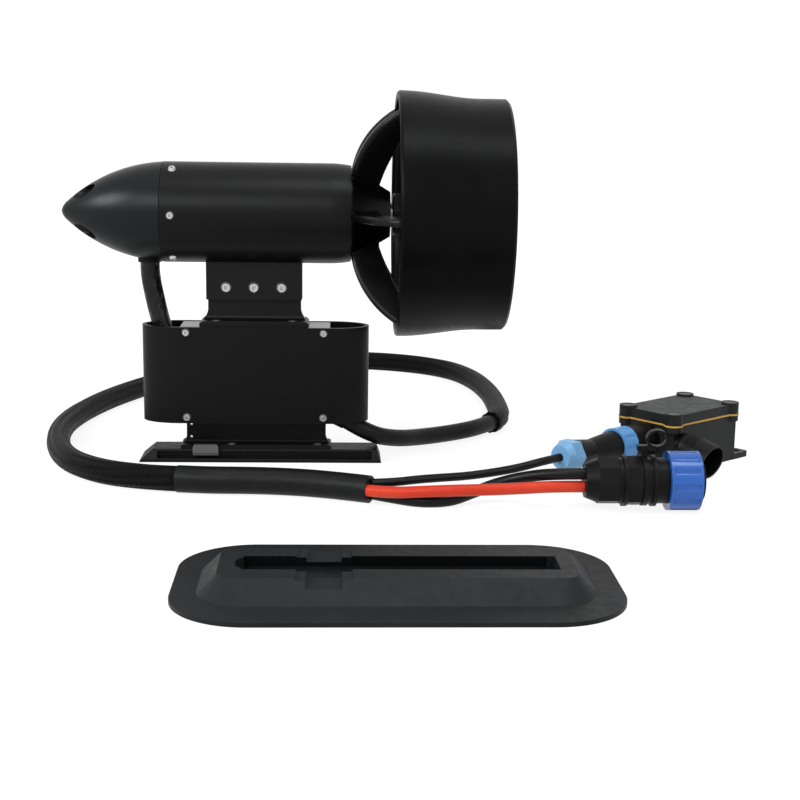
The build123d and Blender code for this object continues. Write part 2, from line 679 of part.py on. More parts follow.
def bolt_positions():
    return [BRACKET_X + (k - (BOLT_COUNT - 1) / 2) * BOLT_PITCH for k in range(BOLT_COUNT)]


def make_saddle():
    x0 = BRACKET_X - SADDLE_LENGTH / 2
    x1 = BRACKET_X + SADDLE_LENGTH / 2
    saddle = block(x0, x1, -SADDLE_HALF_WIDTH, SADDLE_HALF_WIDTH, SADDLE_BOTTOM_Z, MOTOR_Z - BODY_R * 0.8)
    saddle -= rod((x0 - 1, 0, MOTOR_Z), (x1 + 1, 0, MOTOR_Z), BODY_R)
    slot_half = PYLON_WEB / 2 + SLOT_CLEARANCE
    saddle -= block(x0 - 1, x1 + 1, -slot_half, slot_half, SADDLE_BOTTOM_Z - 1, PYLON_TOP_Z + SLOT_ROOF_GAP)
    for x in bolt_positions():
        saddle -= rod((x, -20, BOLT_Z), (x, 20, BOLT_Z), M4[2] + SCREW_CLEARANCE)
    keep("motor_saddle", saddle)


def flared_profile(centre_x, web_length, foot_length, flare_z, foot_z, bottom_z, top_z):
    """Side outline of a bracket whose foot is wider than its web, with curved flares."""
    web = web_length / 2
    foot = foot_length / 2
    step = foot - web
    left = centre_x - web
    right = centre_x + web
    mid = (flare_z * 0.55 + foot_z * 0.45)
    outline = Polyline((left, flare_z), (left, top_z), (right, top_z), (right, flare_z))
    outline += ThreePointArc((right, flare_z), (right + step * 0.22, mid), (right + step, foot_z))
    outline += Polyline((right + step, foot_z), (right + step, bottom_z), (left - step, bottom_z),
                        (left - step, foot_z))
    outline += ThreePointArc((left - step, foot_z), (left - step * 0.22, mid), (left, flare_z))
    plane = Plane(origin=(0, 0, 0), x_dir=(1, 0, 0), z_dir=(0, -1, 0))
    return extrude(plane * make_face(outline), 40, both=True)


def tee_section(web, foot_half, foot_z, foot_thickness, top_z, fillet_r):
    """Upside-down tee: foot on foot_z, web up to top_z, filleted between, as a Y-Z face."""
    half = web / 2
    top_of_foot = foot_z + foot_thickness
    plane = Plane(origin=(0, 0, 0), x_dir=(0, 1, 0), z_dir=(1, 0, 0))
    s = fillet_r * (1 - sqrt(0.5))
    outline = Polyline((-foot_half, foot_z), (foot_half, foot_z), (foot_half, top_of_foot),
                       (half + fillet_r, top_of_foot))
    outline += ThreePointArc((half + fillet_r, top_of_foot), (half + s, top_of_foot + s),
                             (half, top_of_foot + fillet_r))
    outline += Polyline((half, top_of_foot + fillet_r), (half, top_z), (-half, top_z),
                        (-half, top_of_foot + fillet_r))
    outline += ThreePointArc((-half, top_of_foot + fillet_r), (-half - s, top_of_foot + s),
                             (-half - fillet_r, top_of_foot))
    outline += Polyline((-half - fillet_r, top_of_foot), (-foot_half, top_of_foot), (-foot_half, foot_z))
    return plane * make_face(outline)


def make_pylon():
    face = tee_section(PYLON_WEB, PYLON_FOOT_HALF_WIDTH, CASE_TOP_Z, PYLON_FOOT_THICKNESS,
                       PYLON_TOP_Z, FOOT_FILLET)
    blank = extrude(face, 100, both=True)
    foot_top = CASE_TOP_Z + PYLON_FOOT_THICKNESS
    pylon = blank & flared_profile(BRACKET_X, PYLON_LENGTH, PYLON_FOOT_LENGTH, PYLON_FLARE_Z,
                                   foot_top - 1.5, CASE_TOP_Z, PYLON_TOP_Z)
    for x in bolt_positions():
        pylon -= rod((x, -20, BOLT_Z), (x, 20, BOLT_Z), M4[2] + SCREW_CLEARANCE)
    for x, y in pylon_foot_points():
        pylon -= Pos(x, y, foot_top) * countersunk_hole(PYLON_FOOT_THICKNESS + 4)
    keep("pylon_bracket", pylon)


def pylon_foot_points():
    reach = PYLON_LENGTH / 2 - 6
    side = PYLON_FOOT_HALF_WIDTH - 4.4
    return [(BRACKET_X + sx * reach, sy * side) for sx in (-1, 1) for sy in (-1, 1)]


def make_pylon_fasteners():
    bolts = []
    nuts = []
    shank = 2 * SADDLE_HALF_WIDTH + NUT_HEIGHT
    for x in bolt_positions():
        bolts.append(placed(screw(M4, shank), (x, -SADDLE_HALF_WIDTH, BOLT_Z), (0, -1, 0)))
        nut = extrude(RegularPolygon(NUT_R, 6), NUT_HEIGHT) - Pos(0, 0, NUT_HEIGHT / 2) * Cylinder(
            M4[2] + 0.02, NUT_HEIGHT + 1)
        nuts.append(placed(nut, (x, SADDLE_HALF_WIDTH, BOLT_Z), (0, 1, 0)))
    keep("pylon_bolts", group(bolts))
    keep("pylon_nuts", group(nuts))
    top = CASE_TOP_Z + PYLON_FOOT_THICKNESS
    keep("pylon_foot_screws", group([Pos(x, y, top) * countersunk(PYLON_FOOT_THICKNESS + 4)
                                     for x, y in pylon_foot_points()]))


def sleeve_outline(inset):
    straight = SLEEVE_HALF_WIDTH - SLEEVE_END_AXIS
    outline = Rectangle(2 * straight, 2 * (SLEEVE_HALF_DEPTH - inset))
    for side in (-1, 1):
        outline += Pos(side * straight, 0) * Ellipse(SLEEVE_END_AXIS - inset, SLEEVE_HALF_DEPTH - inset)
    return outline


def sleeve_screw_points():
    heights = (SLEEVE_TOP_Z - SLEEVE_SCREW_INSET, SLEEVE_BOTTOM_Z + SLEEVE_SCREW_INSET + 0.6)
    return [(sx * SLEEVE_SCREW_X, side, z) for sx in (-1, 1) for side in (-1, 1) for z in heights]


def make_sleeve():
    height = SLEEVE_TOP_Z - SLEEVE_BOTTOM_Z
    sleeve = Pos(0, 0, SLEEVE_BOTTOM_Z) * extrude(sleeve_outline(0), height)
    sleeve -= Pos(0, 0, SLEEVE_BOTTOM_Z) * extrude(sleeve_outline(SLEEVE_WALL), height)
    screws = []
    hole_r = M3[2] + SCREW_CLEARANCE
    reach = SLEEVE_WALL + 4
    for x, side, z in sleeve_screw_points():
        y = side * SLEEVE_HALF_DEPTH
        sleeve -= rod((x, y - side * reach, z), (x, y + side, z), hole_r)
        screws.append(placed(screw(M3, reach), (x, y, z), (0, side, 0)))
    keep("controller_sleeve", sleeve)
    keep("sleeve_screws", group(screws))


CASE_HALF_DEPTH = SLEEVE_HALF_DEPTH - SLEEVE_WALL - CASE_CLEARANCE
CASE_FLOOR_Z = CASE_BOTTOM_Z + BASE_PLATE + CASE_SEAL
CAVITY_HALF_LENGTH = CASE_HALF_LENGTH - CASE_END_WALL
CAVITY_TOP_Z = CASE_TOP_Z - CASE_ROOF


def make_case():
    a = CASE_HALF_LENGTH
    d = CASE_HALF_DEPTH
    case = block(-a, a, -d, d, CASE_FLOOR_Z, CASE_TOP_Z)
    case -= block(-CAVITY_HALF_LENGTH, CAVITY_HALF_LENGTH, -d + CASE_WALL, d - CASE_WALL,
                  CASE_FLOOR_Z - 1, CAVITY_TOP_Z)
    groove = CAVITY_HALF_LENGTH + BOARD_GROOVE
    half = BOARD_THICKNESS / 2 + FIT
    case -= block(-groove, groove, -half, half, CASE_FLOOR_Z - 1, CAVITY_TOP_Z)
    plate = block(-a, a, -d, d, CASE_BOTTOM_Z, CASE_BOTTOM_Z + BASE_PLATE)
    hole_r = M3[2] + SCREW_CLEARANCE
    for x, side, z in sleeve_screw_points():
        hole = rod((x, side * (d - 5), z), (x, side * (d + 1), z), hole_r)
        case -= hole
        plate -= hole
    top = CASE_TOP_Z + PYLON_FOOT_THICKNESS
    for x, y in pylon_foot_points():
        case -= Pos(x, y, top) * countersunk_hole(PYLON_FOOT_THICKNESS + 4)
    for x, y in flange_screw_points():
        plate -= rod((x, y, CASE_BOTTOM_Z - 1), (x, y, CASE_BOTTOM_Z + 4.2), hole_r)
    keep("controller_case", case)
    keep("controller_base_plate", plate)
    seal = block(-a, a, -d, d, CASE_BOTTOM_Z + BASE_PLATE, CASE_FLOOR_Z)
    seal -= block(-CAVITY_HALF_LENGTH, CAVITY_HALF_LENGTH, -d + CASE_WALL, d - CASE_WALL,
                  CASE_BOTTOM_Z, CASE_FLOOR_Z + 1)
    keep("controller_seal", seal)


def make_controller_board():
    groove = CAVITY_HALF_LENGTH + BOARD_GROOVE - FIT
    bottom = CASE_FLOOR_Z
    top = CAVITY_TOP_Z - BOARD_TOP_GAP
    half = BOARD_THICKNESS / 2
    board = block(-groove, groove, -half, half, bottom, top)
    board += block(-30, -4, half, half + 3, bottom + 14, bottom + 26)
    board += block(4, 30, half, half + 3, bottom + 14, bottom + 26)
    keep("controller_board", board)
    first = -(CAPACITOR_COUNT - 1) / 2 * CAPACITOR_PITCH
    z = top - CAPACITOR_R - 4
    keep("power_capacitors", group([
        rod((first + k * CAPACITOR_PITCH, -half, z), (first + k * CAPACITOR_PITCH, -half - CAPACITOR_LENGTH, z),
            CAPACITOR_R) for k in range(CAPACITOR_COUNT)]))


def make_glands():
    outer = PHASE_CABLE_R + GLAND_WALL
    elbow = rod((PHASE_GLAND_X, 0, PHASE_GLAND_Z - outer), (PHASE_GLAND_X, 0, PHASE_GLAND_TOP_Z), outer)
    elbow += rod((PHASE_GLAND_X, 0, PHASE_GLAND_Z), (-CASE_HALF_LENGTH, 0, PHASE_GLAND_Z), outer)
    keep("phase_gland", elbow)
    angle = radians(POWER_GLAND_ANGLE)
    direction = Vector(cos(angle), 0, -sin(angle))
    start = Vector(CASE_HALF_LENGTH, 0, POWER_GLAND_Z)
    end = start + direction * POWER_GLAND_LENGTH
    boot = Plane(origin=start - direction * POWER_BOOT_ROOT, z_dir=direction) * Cone(
        POWER_CABLE_R + POWER_BOOT_ROOT_WALL, POWER_CABLE_R + POWER_BOOT_TIP_WALL, POWER_GLAND_LENGTH + POWER_BOOT_ROOT,
        align=(Align.CENTER, Align.CENTER, Align.MIN))
    boot -= block(0, CASE_HALF_LENGTH, -20, 20, 0, 80)
    keep("power_gland", boot)
    return tuple(end), tuple(end + direction * POWER_FIRST_RUN)


def arc_radii(points):
    """Largest tangent arc at each corner: a share of its shorter run over tan of half the turn."""
    radii = []
    for a, b, c in zip(points, points[1:], points[2:]):
        first = Vector(*b) - Vector(*a)
        second = Vector(*c) - Vector(*b)
        turn = radians(first.get_angle(second))
        radii.append(BEND_SHARE * min(first.length, second.length) / tan(turn / 2))
    return radii


def cord(name, points, radius):
    """Tube of straight runs and tangent arcs through a route of points."""
    points = [tuple(p) for p in points]
    radii = arc_radii(points)
    path = FilletPolyline(*points, radius=radii)
    start_direction = Vector(*points[1]) - Vector(*points[0])
    section = Plane(origin=points[0], z_dir=start_direction) * Circle(radius)
    tube = sweep(section, path=path)
    expected = pi * radius**2 * path.length
    lowest = tube.bounding_box().min.Z
    rounded = [tuple(round(v, 2) for v in p) for p in points]
    print(f"{name} route: {rounded}")
    print(f"{name}: length {path.length:.1f}, smallest radius {min(radii):.1f} "
          f"({min(radii) / (2 * radius):.1f} diameters), lowest {lowest:.2f}, "
          f"volume ratio {tube.volume / expected:.4f}")
    keep(name, tube)


def between(a, b):
    return tuple((p + q) / 2 for p, q in zip(a, b))


def breakout_points(name):
    """Where a lead leaves the heat-shrink's end face, and the end of its first run."""
    along = (Vector(*SHRINK_END) - Vector(*SHRINK_ROUTE[-1])).normalized()
    across = Vector(-along.Y, along.X, 0)
    side, up = BREAKOUT[name]
    start = Vector(*SHRINK_END) + across * side + Vector(0, 0, up)
    return [tuple(start), tuple(start + along * BREAKOUT_RUNS[name])]


def plug_points(name, side):
    """The end of a lead's route, straight into the battery plug's nut."""
    z = PLUG_Z + side * LEAD_PITCH / 2
    return [(PLUG_FRONT_X - PLUG_LEAD_RUNS[name], PLUG_Y, z), (PLUG_FRONT_X, PLUG_Y, z)]


def make_loom(power_start):
    top = (PHASE_EXIT_X, 0, PHASE_CABLE_TOP_Z)
    high = (PHASE_EXIT_X, 0, PHASE_BEND_HIGH_Z)
    low = (PHASE_GLAND_X, 0, PHASE_BEND_LOW_Z)
    middle = (high[0] + 0.44 * (low[0] - high[0]), 0, high[2] + 0.51 * (low[2] - high[2]))
    cord("phase_cable", [top, high, middle, low, (PHASE_GLAND_X, 0, PHASE_GLAND_TOP_Z)], PHASE_CABLE_R)
    braid_start = between(JACKET_ROUTE[-1], BRAID_ROUTE[0])
    shrink_start = between(BRAID_ROUTE[-1], SHRINK_ROUTE[0])
    cord("power_cable", list(power_start) + JACKET_ROUTE + [braid_start], POWER_CABLE_R)
    cord("braided_loom", [braid_start] + BRAID_ROUTE + [shrink_start], BRAID_R)
    cord("breakout_heat_shrink", [shrink_start] + SHRINK_ROUTE + [SHRINK_END], SHRINK_R)
    cord("red_lead", breakout_points("red") + RED_ROUTE + plug_points("red", -1), LEAD_R)
    cord("black_lead", breakout_points("black") + BLACK_ROUTE + plug_points("black", 1), LEAD_R)
    nut_face = SIGNAL_BODY_END + SIGNAL_NUT_LENGTH + FIT / 2
    last = [signal_point(nut_face + SIGNAL_LAST_RUN), signal_point(nut_face)]
    cord("signal_lead", breakout_points("signal") + SIGNAL_ROUTE + last, SIGNAL_LEAD_R)


def flange_screw_points():
    return [(sx * MOUNT_LENGTH * 0.38, sy * 6.0) for sx in (-1, 1) for sy in (-1, 1)]


def foot_screw_points():
    return [(x, sy * 7.2) for x in (LATCH_X + 18, MOUNT_LENGTH * 0.44) for sy in (-1, 1)]


def make_mount_bracket():
    top = CASE_BOTTOM_Z
    face = tee_section(MOUNT_WEB, MOUNT_FOOT_HALF_WIDTH, BASE_HEIGHT, MOUNT_FOOT, top, MOUNT_FILLET)
    blank = extrude(face, 100, both=True)
    bracket = blank & flared_profile(0, MOUNT_LENGTH, MOUNT_FOOT_LENGTH, MOUNT_FLARE_Z,
                                     BASE_HEIGHT + MOUNT_FOOT - 0.8, BASE_HEIGHT, top)
    half = MOUNT_LENGTH / 2
    bracket += block(-half, half, -MOUNT_TOP_HALF_WIDTH, MOUNT_TOP_HALF_WIDTH, top - MOUNT_TOP_FLANGE, top)
    for z in PIN_HOLE_HEIGHTS:
        x = -half + PIN_HOLE_INSET
        bracket -= rod((x, -20, z), (x, 20, z), PIN_HOLE_R)
    notch_half = LATCH_WIDTH / 2 + 1
    bracket -= block(LATCH_X - notch_half, LATCH_X + notch_half, -20,
                     LATCH_FRONT_Y + LATCH_TAB + LATCH_TRAVEL + 1, 0, LATCH_TOP_Z + 1)
    hole = Pos(0, 0, 0) * countersunk_hole(MOUNT_TOP_FLANGE + 4)
    for x, y in flange_screw_points():
        bracket -= placed(hole, (x, y, top - MOUNT_TOP_FLANGE), (0, 0, -1))
    for x, y in foot_screw_points():
        bracket -= Pos(x, y, BASE_HEIGHT + MOUNT_FOOT) * countersunk_hole(MOUNT_FOOT + 4)
    keep("mount_bracket", bracket)
    upper = [placed(countersunk(MOUNT_TOP_FLANGE + 4), (x, y, top - MOUNT_TOP_FLANGE), (0, 0, -1))
             for x, y in flange_screw_points()]
    lower = [Pos(x, y, BASE_HEIGHT + MOUNT_FOOT) * countersunk(MOUNT_FOOT + 4) for x, y in foot_screw_points()]
    keep("bracket_screws", group(upper + lower))


def dovetail(x0, x1, top_half, bottom_half, edge, z0, height):
    plane = Plane(origin=(x0, 0, z0), x_dir=(0, 1, 0), z_dir=(1, 0, 0))
    outline = Polyline((-bottom_half, 0), (bottom_half, 0), (bottom_half, edge), (top_half, height),
                       (-top_half, height), (-bottom_half, edge), close=True)
    return extrude(plane * make_face(outline), x1 - x0)


def make_fin_base():
    base = dovetail(BASE_FRONT_X, BASE_REAR_X, BASE_TOP_HALF, BASE_BOTTOM_HALF, BASE_EDGE, 0, BASE_HEIGHT)
    plane = Plane(origin=(0, 0, 0), x_dir=(1, 0, 0), z_dir=(0, -1, 0))
    side = Polyline((BASE_FRONT_X, 0), (BASE_FRONT_X, 1.0), (BASE_FRONT_X + BASE_FRONT_SLOPE, BASE_HEIGHT),
                    (BASE_REAR_X - BASE_REAR_SLOPE, BASE_HEIGHT), (BASE_REAR_X, 1.0), (BASE_REAR_X, 0), close=True)
    base &= extrude(plane * make_face(side), 30, both=True)
    groove_x = (BASE_FRONT_X + BASE_FRONT_SLOPE + BASE_END_WALL / 2, BASE_REAR_X - BASE_END_WALL)
    for side in (-1, 1):
        y0, y1 = sorted((side * BASE_GROOVE_HALF, side * (BASE_BOTTOM_HALF + 1)))
        base -= block(*groove_x, y0, y1, *BASE_GROOVE_Z)
    half = LATCH_WIDTH / 2 + LATCH_CLEARANCE
    base -= block(LATCH_X - half, LATCH_X + half, -20, 20, LATCH_BAR_Z - LATCH_CLEARANCE, BASE_HEIGHT + 1)
    for x, y in foot_screw_points():
        base -= rod((x, y, BASE_HEIGHT + 1), (x, y, BASE_HEIGHT - 4.2), M3[2] + SCREW_CLEARANCE)
    keep("fin_base", base)


def make_latch():
    half = LATCH_WIDTH / 2
    bar_top = BASE_HEIGHT - LATCH_CLEARANCE
    bar = block(LATCH_X - half, LATCH_X + half, LATCH_FRONT_Y + LATCH_TAB / 2, LATCH_REAR_Y, LATCH_BAR_Z, bar_top)
    tab_rear = LATCH_FRONT_Y + LATCH_TAB
    tab = block(LATCH_X - half, LATCH_X + half, LATCH_FRONT_Y, tab_rear, LATCH_TAB_Z, LATCH_TOP_Z)
    tab = chamfer(tab.edges().filter_by(Axis.Y).group_by(Axis.Z)[-1], 1.2)
    keep("fin_latch", bar + tab)


def plug_ring(x0, x1, inner, outer):
    start = (x0, PLUG_Y, PLUG_Z)
    end = (x1, PLUG_Y, PLUG_Z)
    return rod(start, end, outer) - rod((x0 - 1, PLUG_Y, PLUG_Z), (x1 + 1, PLUG_Y, PLUG_Z), inner)


def faceted_nut(radius, length, facets):
    """Compression nut along +Z: grip flats, a rounded nose at z = length."""
    grip = extrude(RegularPolygon(radius, facets), length * 0.62)
    nose = Pos(0, 0, length * 0.62) * Cone(
        radius * 0.93, radius * 0.72, length * 0.38, align=(Align.CENTER, Align.CENTER, Align.MIN))
    return grip + nose


def ribbed_ring(inner, outer, length, ribs, depth):
    """Grip ring along +Z with shallow scallops between its ribs."""
    ring = Pos(0, 0, length / 2) * Cylinder(outer, length)
    scallop_r = outer * pi / ribs * 0.62
    for k in range(ribs):
        a = 2 * pi * k / ribs
        reach = outer + scallop_r - depth
        ring -= Pos(reach * cos(a), reach * sin(a), length / 2) * Cylinder(scallop_r, length - 3.0)
    ring -= Pos(0, 0, length / 2) * Cylinder(inner, length + 2)
    return ring


def make_battery_plug():
    nut_end = PLUG_FRONT_X + PLUG_NUT_LENGTH
    nut = faceted_nut(PLUG_NUT_R, PLUG_NUT_LENGTH, NUT_FACETS)
    nut -= Pos(0, 0, THREAD_LENGTH / 2) * Cylinder(PLUG_THREAD_R + FIT, THREAD_LENGTH)
    keep("battery_gland_nut", placed(nut, (nut_end, PLUG_Y, PLUG_Z), (-1, 0, 0)))
    body = plug_ring(nut_end + FIT, PLUG_BODY_END_X, 1.0, PLUG_BODY_R)
    body += rod((nut_end - THREAD_LENGTH + FIT, PLUG_Y, PLUG_Z), (PLUG_BODY_END_X, PLUG_Y, PLUG_Z), PLUG_THREAD_R)
    for x in PLUG_RIBS_X:
        body += plug_ring(x, x + PLUG_RIB_LENGTH, PLUG_BODY_R - 2, PLUG_RIB_R)
    flats = extrude(RegularPolygon(PLUG_RIB_R - 0.3, PLUG_FLAT_COUNT), PLUG_OCTAGON_LENGTH)
    body += placed(flats, (PLUG_RIBS_X[0] + PLUG_RIB_LENGTH, PLUG_Y, PLUG_Z), (1, 0, 0))
    keep("battery_plug_body", body)
    start = PLUG_BODY_END_X
    ring_end = COUPLING_START_X + COUPLING_LENGTH
    insert = rod((start, PLUG_Y, PLUG_Z), (INSERT_END_X, PLUG_Y, PLUG_Z), INSERT_R)
    collar_x = (COUPLING_START_X + COUPLING_WALL + RING_CLEARANCE, ring_end - COUPLING_WALL - RING_CLEARANCE)
    insert += rod((collar_x[0], PLUG_Y, PLUG_Z), (collar_x[0] + 4, PLUG_Y, PLUG_Z), INSERT_COLLAR)
    insert -= rod((INSERT_END_X - INSERT_BORE_DEPTH, PLUG_Y, PLUG_Z), (INSERT_END_X + 1, PLUG_Y, PLUG_Z),
                  INSERT_BORE_R)
    for side in (-1, 1):
        insert += rod((INSERT_END_X - INSERT_BORE_DEPTH, PLUG_Y + side * 5, PLUG_Z),
                      (INSERT_END_X - 4, PLUG_Y + side * 5, PLUG_Z), CONTACT_R)
    keep("battery_plug_insert", insert)
    ring = ribbed_ring(INSERT_R + RING_CLEARANCE, COUPLING_R, COUPLING_LENGTH, COUPLING_RIBS, COUPLING_RIB_DEPTH)
    pocket_length = collar_x[1] - collar_x[0] + 2 * RING_CLEARANCE
    ring -= Pos(0, 0, COUPLING_WALL + pocket_length / 2) * Cylinder(INSERT_COLLAR + RING_CLEARANCE, pocket_length)
    keep("battery_coupling_ring", placed(ring, (COUPLING_START_X, PLUG_Y, PLUG_Z), (1, 0, 0)))


def make_strap():
    band = plug_ring(STRAP_X - STRAP_WIDTH / 2, STRAP_X + STRAP_WIDTH / 2, PLUG_BODY_R,
                     PLUG_BODY_R + STRAP_THICKNESS)
    top = PLUG_Z + PLUG_BODY_R + STRAP_THICKNESS
    half = STRAP_WIDTH / 2
    stem = block(STRAP_X - half, STRAP_X + half, PLUG_Y - 1.2, PLUG_Y + 1.2, top - 0.8, top + STRAP_STEM)
    length, width, height = STRAP_HEAD
    head = Pos(STRAP_X + 1.2, PLUG_Y, top + STRAP_STEM) * Box(length, width, height)
    rx, rz = STRAP_LOOP
    centre = (STRAP_X + STRAP_LOOP_OFFSET, PLUG_Y, top + STRAP_STEM + rz)
    plane = Plane(origin=centre, x_dir=(1, 0, 0), z_dir=(0, -1, 0))
    ring = Ellipse(rx, rz) - Ellipse(rx - STRAP_THICKNESS, rz - STRAP_THICKNESS)
    loop = extrude(plane * ring, STRAP_LOOP_HALF_DEPTH, both=True)
    keep("retaining_strap", band + stem + head + loop)


def signal_point(distance):
    """Point on the signal plug's axis, measured out from the control box's end face."""
    p = box_plane.from_local_coords(Vector(-BOX_LENGTH / 2 - distance, 0, SIGNAL_Z))
    return (p.X, p.Y, p.Z)


def signal_piece(shape, distance):
    """Local +Z onto the signal plug's axis, away from the box."""
    out = box_plane.from_local_coords(Vector(-1, 0, 0)) - box_plane.from_local_coords(Vector(0, 0, 0))
    return placed(shape, signal_point(distance), out)


def make_signal_plug():
    base = (Align.CENTER, Align.CENTER, Align.MIN)
    inset = CORNER_NECK / 2
    socket = Cylinder(SIGNAL_FLANGE_R, SIGNAL_FLANGE + inset, align=base)
    socket += Cylinder(SIGNAL_BARREL_R, SIGNAL_BARREL_END + inset, align=base)
    socket += Cylinder(SIGNAL_RING_R - 0.8, SIGNAL_RING_START - RING_CLEARANCE + inset, align=base)
    keep("signal_socket", signal_piece(socket, -inset))
    inner = SIGNAL_BARREL_R + RING_CLEARANCE
    ring = ribbed_ring(inner, SIGNAL_RING_R, SIGNAL_RING_LENGTH, SIGNAL_RIBS, SIGNAL_RIB_DEPTH)
    keep("signal_coupling_ring", signal_piece(ring, SIGNAL_RING_START))
    body_start = SIGNAL_BARREL_END + FIT
    ring_end = SIGNAL_RING_START + SIGNAL_RING_LENGTH + RING_CLEARANCE
    neck = Cylinder(SIGNAL_BARREL_R, ring_end - body_start, align=base)
    length = SIGNAL_BODY_END - ring_end
    shoulder = Pos(0, 0, ring_end - body_start) * Cone(
        SIGNAL_BARREL_R + 1.4, SIGNAL_BARREL_R - 1.2, length * 0.6, align=base)
    hips = Pos(0, 0, ring_end - body_start + length * 0.6) * Cone(
        SIGNAL_BARREL_R - 1.2, SIGNAL_BARREL_R + 0.9, length * 0.4, align=base)
    thread = Cylinder(SIGNAL_THREAD_R, SIGNAL_BODY_END - body_start + THREAD_LENGTH - 0.4, align=base)
    keep("signal_plug_body", signal_piece(neck + shoulder + hips + thread, body_start))
    nut = faceted_nut(SIGNAL_NUT_R, SIGNAL_NUT_LENGTH, 6)
    nut -= Cylinder(SIGNAL_THREAD_R + FIT, THREAD_LENGTH, align=base)
    keep("signal_gland_nut", signal_piece(nut, SIGNAL_BODY_END + FIT / 2))


def lobed_outline(inset):
    """Box outline with a round boss at each corner."""
    half_x = BOX_LENGTH / 2
    half_y = BOX_WIDTH / 2
    neck = CORNER_NECK / 2
    outline = Rectangle(2 * (half_x - neck - inset), 2 * (half_y - neck - inset))
    for x, y in corner_points():
        outline += Pos(x, y) * Circle(CORNER_R - inset)
    return outline


def corner_points():
    x = BOX_LENGTH / 2 - CORNER_INSET
    y = BOX_WIDTH / 2 - CORNER_INSET
    return [(sx * x, sy * y) for sx in (-1, 1) for sy in (-1, 1)]


def body_outline():
    outline = Rectangle(BOX_LENGTH - CORNER_NECK, BOX_WIDTH - CORNER_NECK)
    for x, y in corner_points():
        outline += Pos(x, y) * Circle(CORNER_R)
    return outline


def cavity_outline():
    outline = Rectangle(BOX_LENGTH - CORNER_NECK - 2 * BOX_WALL, BOX_WIDTH - CORNER_NECK - 2 * BOX_WALL)
    for x, y in corner_points():
        outline -= Pos(x, y) * Circle(CORNER_R)
    return outline


def ear(side):
    """Mounting ear that stands out of one end of the box, with a round hole."""
    reach = BOX_LENGTH / 2 + EAR_LENGTH
    x = side * (BOX_LENGTH / 2 - CORNER_NECK + reach) / 2
    y = -side * EAR_OFFSET
    plate = Pos(x, y) * Rectangle(reach - BOX_LENGTH / 2 + CORNER_NECK, EAR_WIDTH)
    plate = fillet(plate.vertices().group_by(Axis.X)[-1 if side > 0 else 0], 3.0)
    plate -= Pos(side * (reach - EAR_WIDTH / 2), y) * Circle(EAR_HOLE_R)
    return extrude(plate, EAR_THICKNESS)


def make_control_box():
    body = extrude(Rectangle(BOX_LENGTH - CORNER_NECK, BOX_WIDTH - CORNER_NECK), BOX_BODY_HEIGHT)
    body += Pos(0, 0, BOX_BODY_HEIGHT - BOX_LOBE_HEIGHT) * extrude(body_outline(), BOX_LOBE_HEIGHT)
    body -= Pos(0, 0, BOX_FLOOR) * extrude(cavity_outline(), BOX_BODY_HEIGHT)
    for side in (-1, 1):
        body += ear(side)
        for end in (-1, 1):
            body += Pos(end * STANDOFF_X, side * STANDOFF_Y, BOX_FLOOR + STANDOFF_HEIGHT / 2) * Cylinder(
                STANDOFF_R, STANDOFF_HEIGHT)
    for x, y in corner_points():
        depth = BOX_SCREW_DEPTH
        body -= Pos(x, y, BOX_BODY_HEIGHT - depth / 2) * Cylinder(BOX_SCREW_R + SCREW_CLEARANCE, depth + 0.02)
    keep("control_box", box_plane * body)

    gasket = extrude(lobed_outline(-GASKET_PROUD) - cavity_outline(), GASKET_HEIGHT)
    lid_z = BOX_BODY_HEIGHT + GASKET_HEIGHT
    lid = extrude(body_outline(), LID_HEIGHT)
    for x, y in corner_points():
        lid += Pos(x, y, (LID_HEIGHT + LID_BOSS_HEIGHT) / 2) * Cylinder(CORNER_R, LID_HEIGHT + LID_BOSS_HEIGHT)
    screws = []
    head_r = CORNER_R - 2.4
    head_height = 2.2
    top = LID_HEIGHT + LID_BOSS_HEIGHT
    for x, y in corner_points():
        shaft_hole = Pos(x, y, 0) * Cylinder(BOX_SCREW_R + SCREW_CLEARANCE, 4 * LID_HEIGHT)
        gasket -= shaft_hole
        lid -= shaft_hole
        lid -= Pos(x, y, top - head_height + 1) * Cylinder(head_r + SCREW_CLEARANCE, 2 * head_height - 1.6)
        length = top - head_height + GASKET_HEIGHT + BOX_SCREW_DEPTH - 2
        head = Pos(0, 0, 0.9) * Cylinder(head_r, 1.8) - Pos(0, 0, 1.8) * Box(1.0, 2 * head_r - 1.6, 1.4)
        body_of_screw = head + Pos(0, 0, -length / 2) * Cylinder(BOX_SCREW_R, length)
        screws.append(box_plane * Pos(x, y, lid_z + top - head_height + 0.2) * body_of_screw)
    keep("control_box_gasket", box_plane * Pos(0, 0, BOX_BODY_HEIGHT) * gasket)
    keep("control_box_lid", box_plane * Pos(0, 0, lid_z) * lid)
    keep("control_box_screws", group(screws))

    board_z = BOX_FLOOR + STANDOFF_HEIGHT
    board = Pos(0, 0, board_z + BOARD_THICKNESS / 2) * Box(56, 30, BOARD_THICKNESS)
    for x, size in ((-14, 16), (10, 20)):
        board += Pos(x, 0, board_z + BOARD_THICKNESS + 6) * Box(size, 18, 12)
    keep("control_board", box_plane * board)


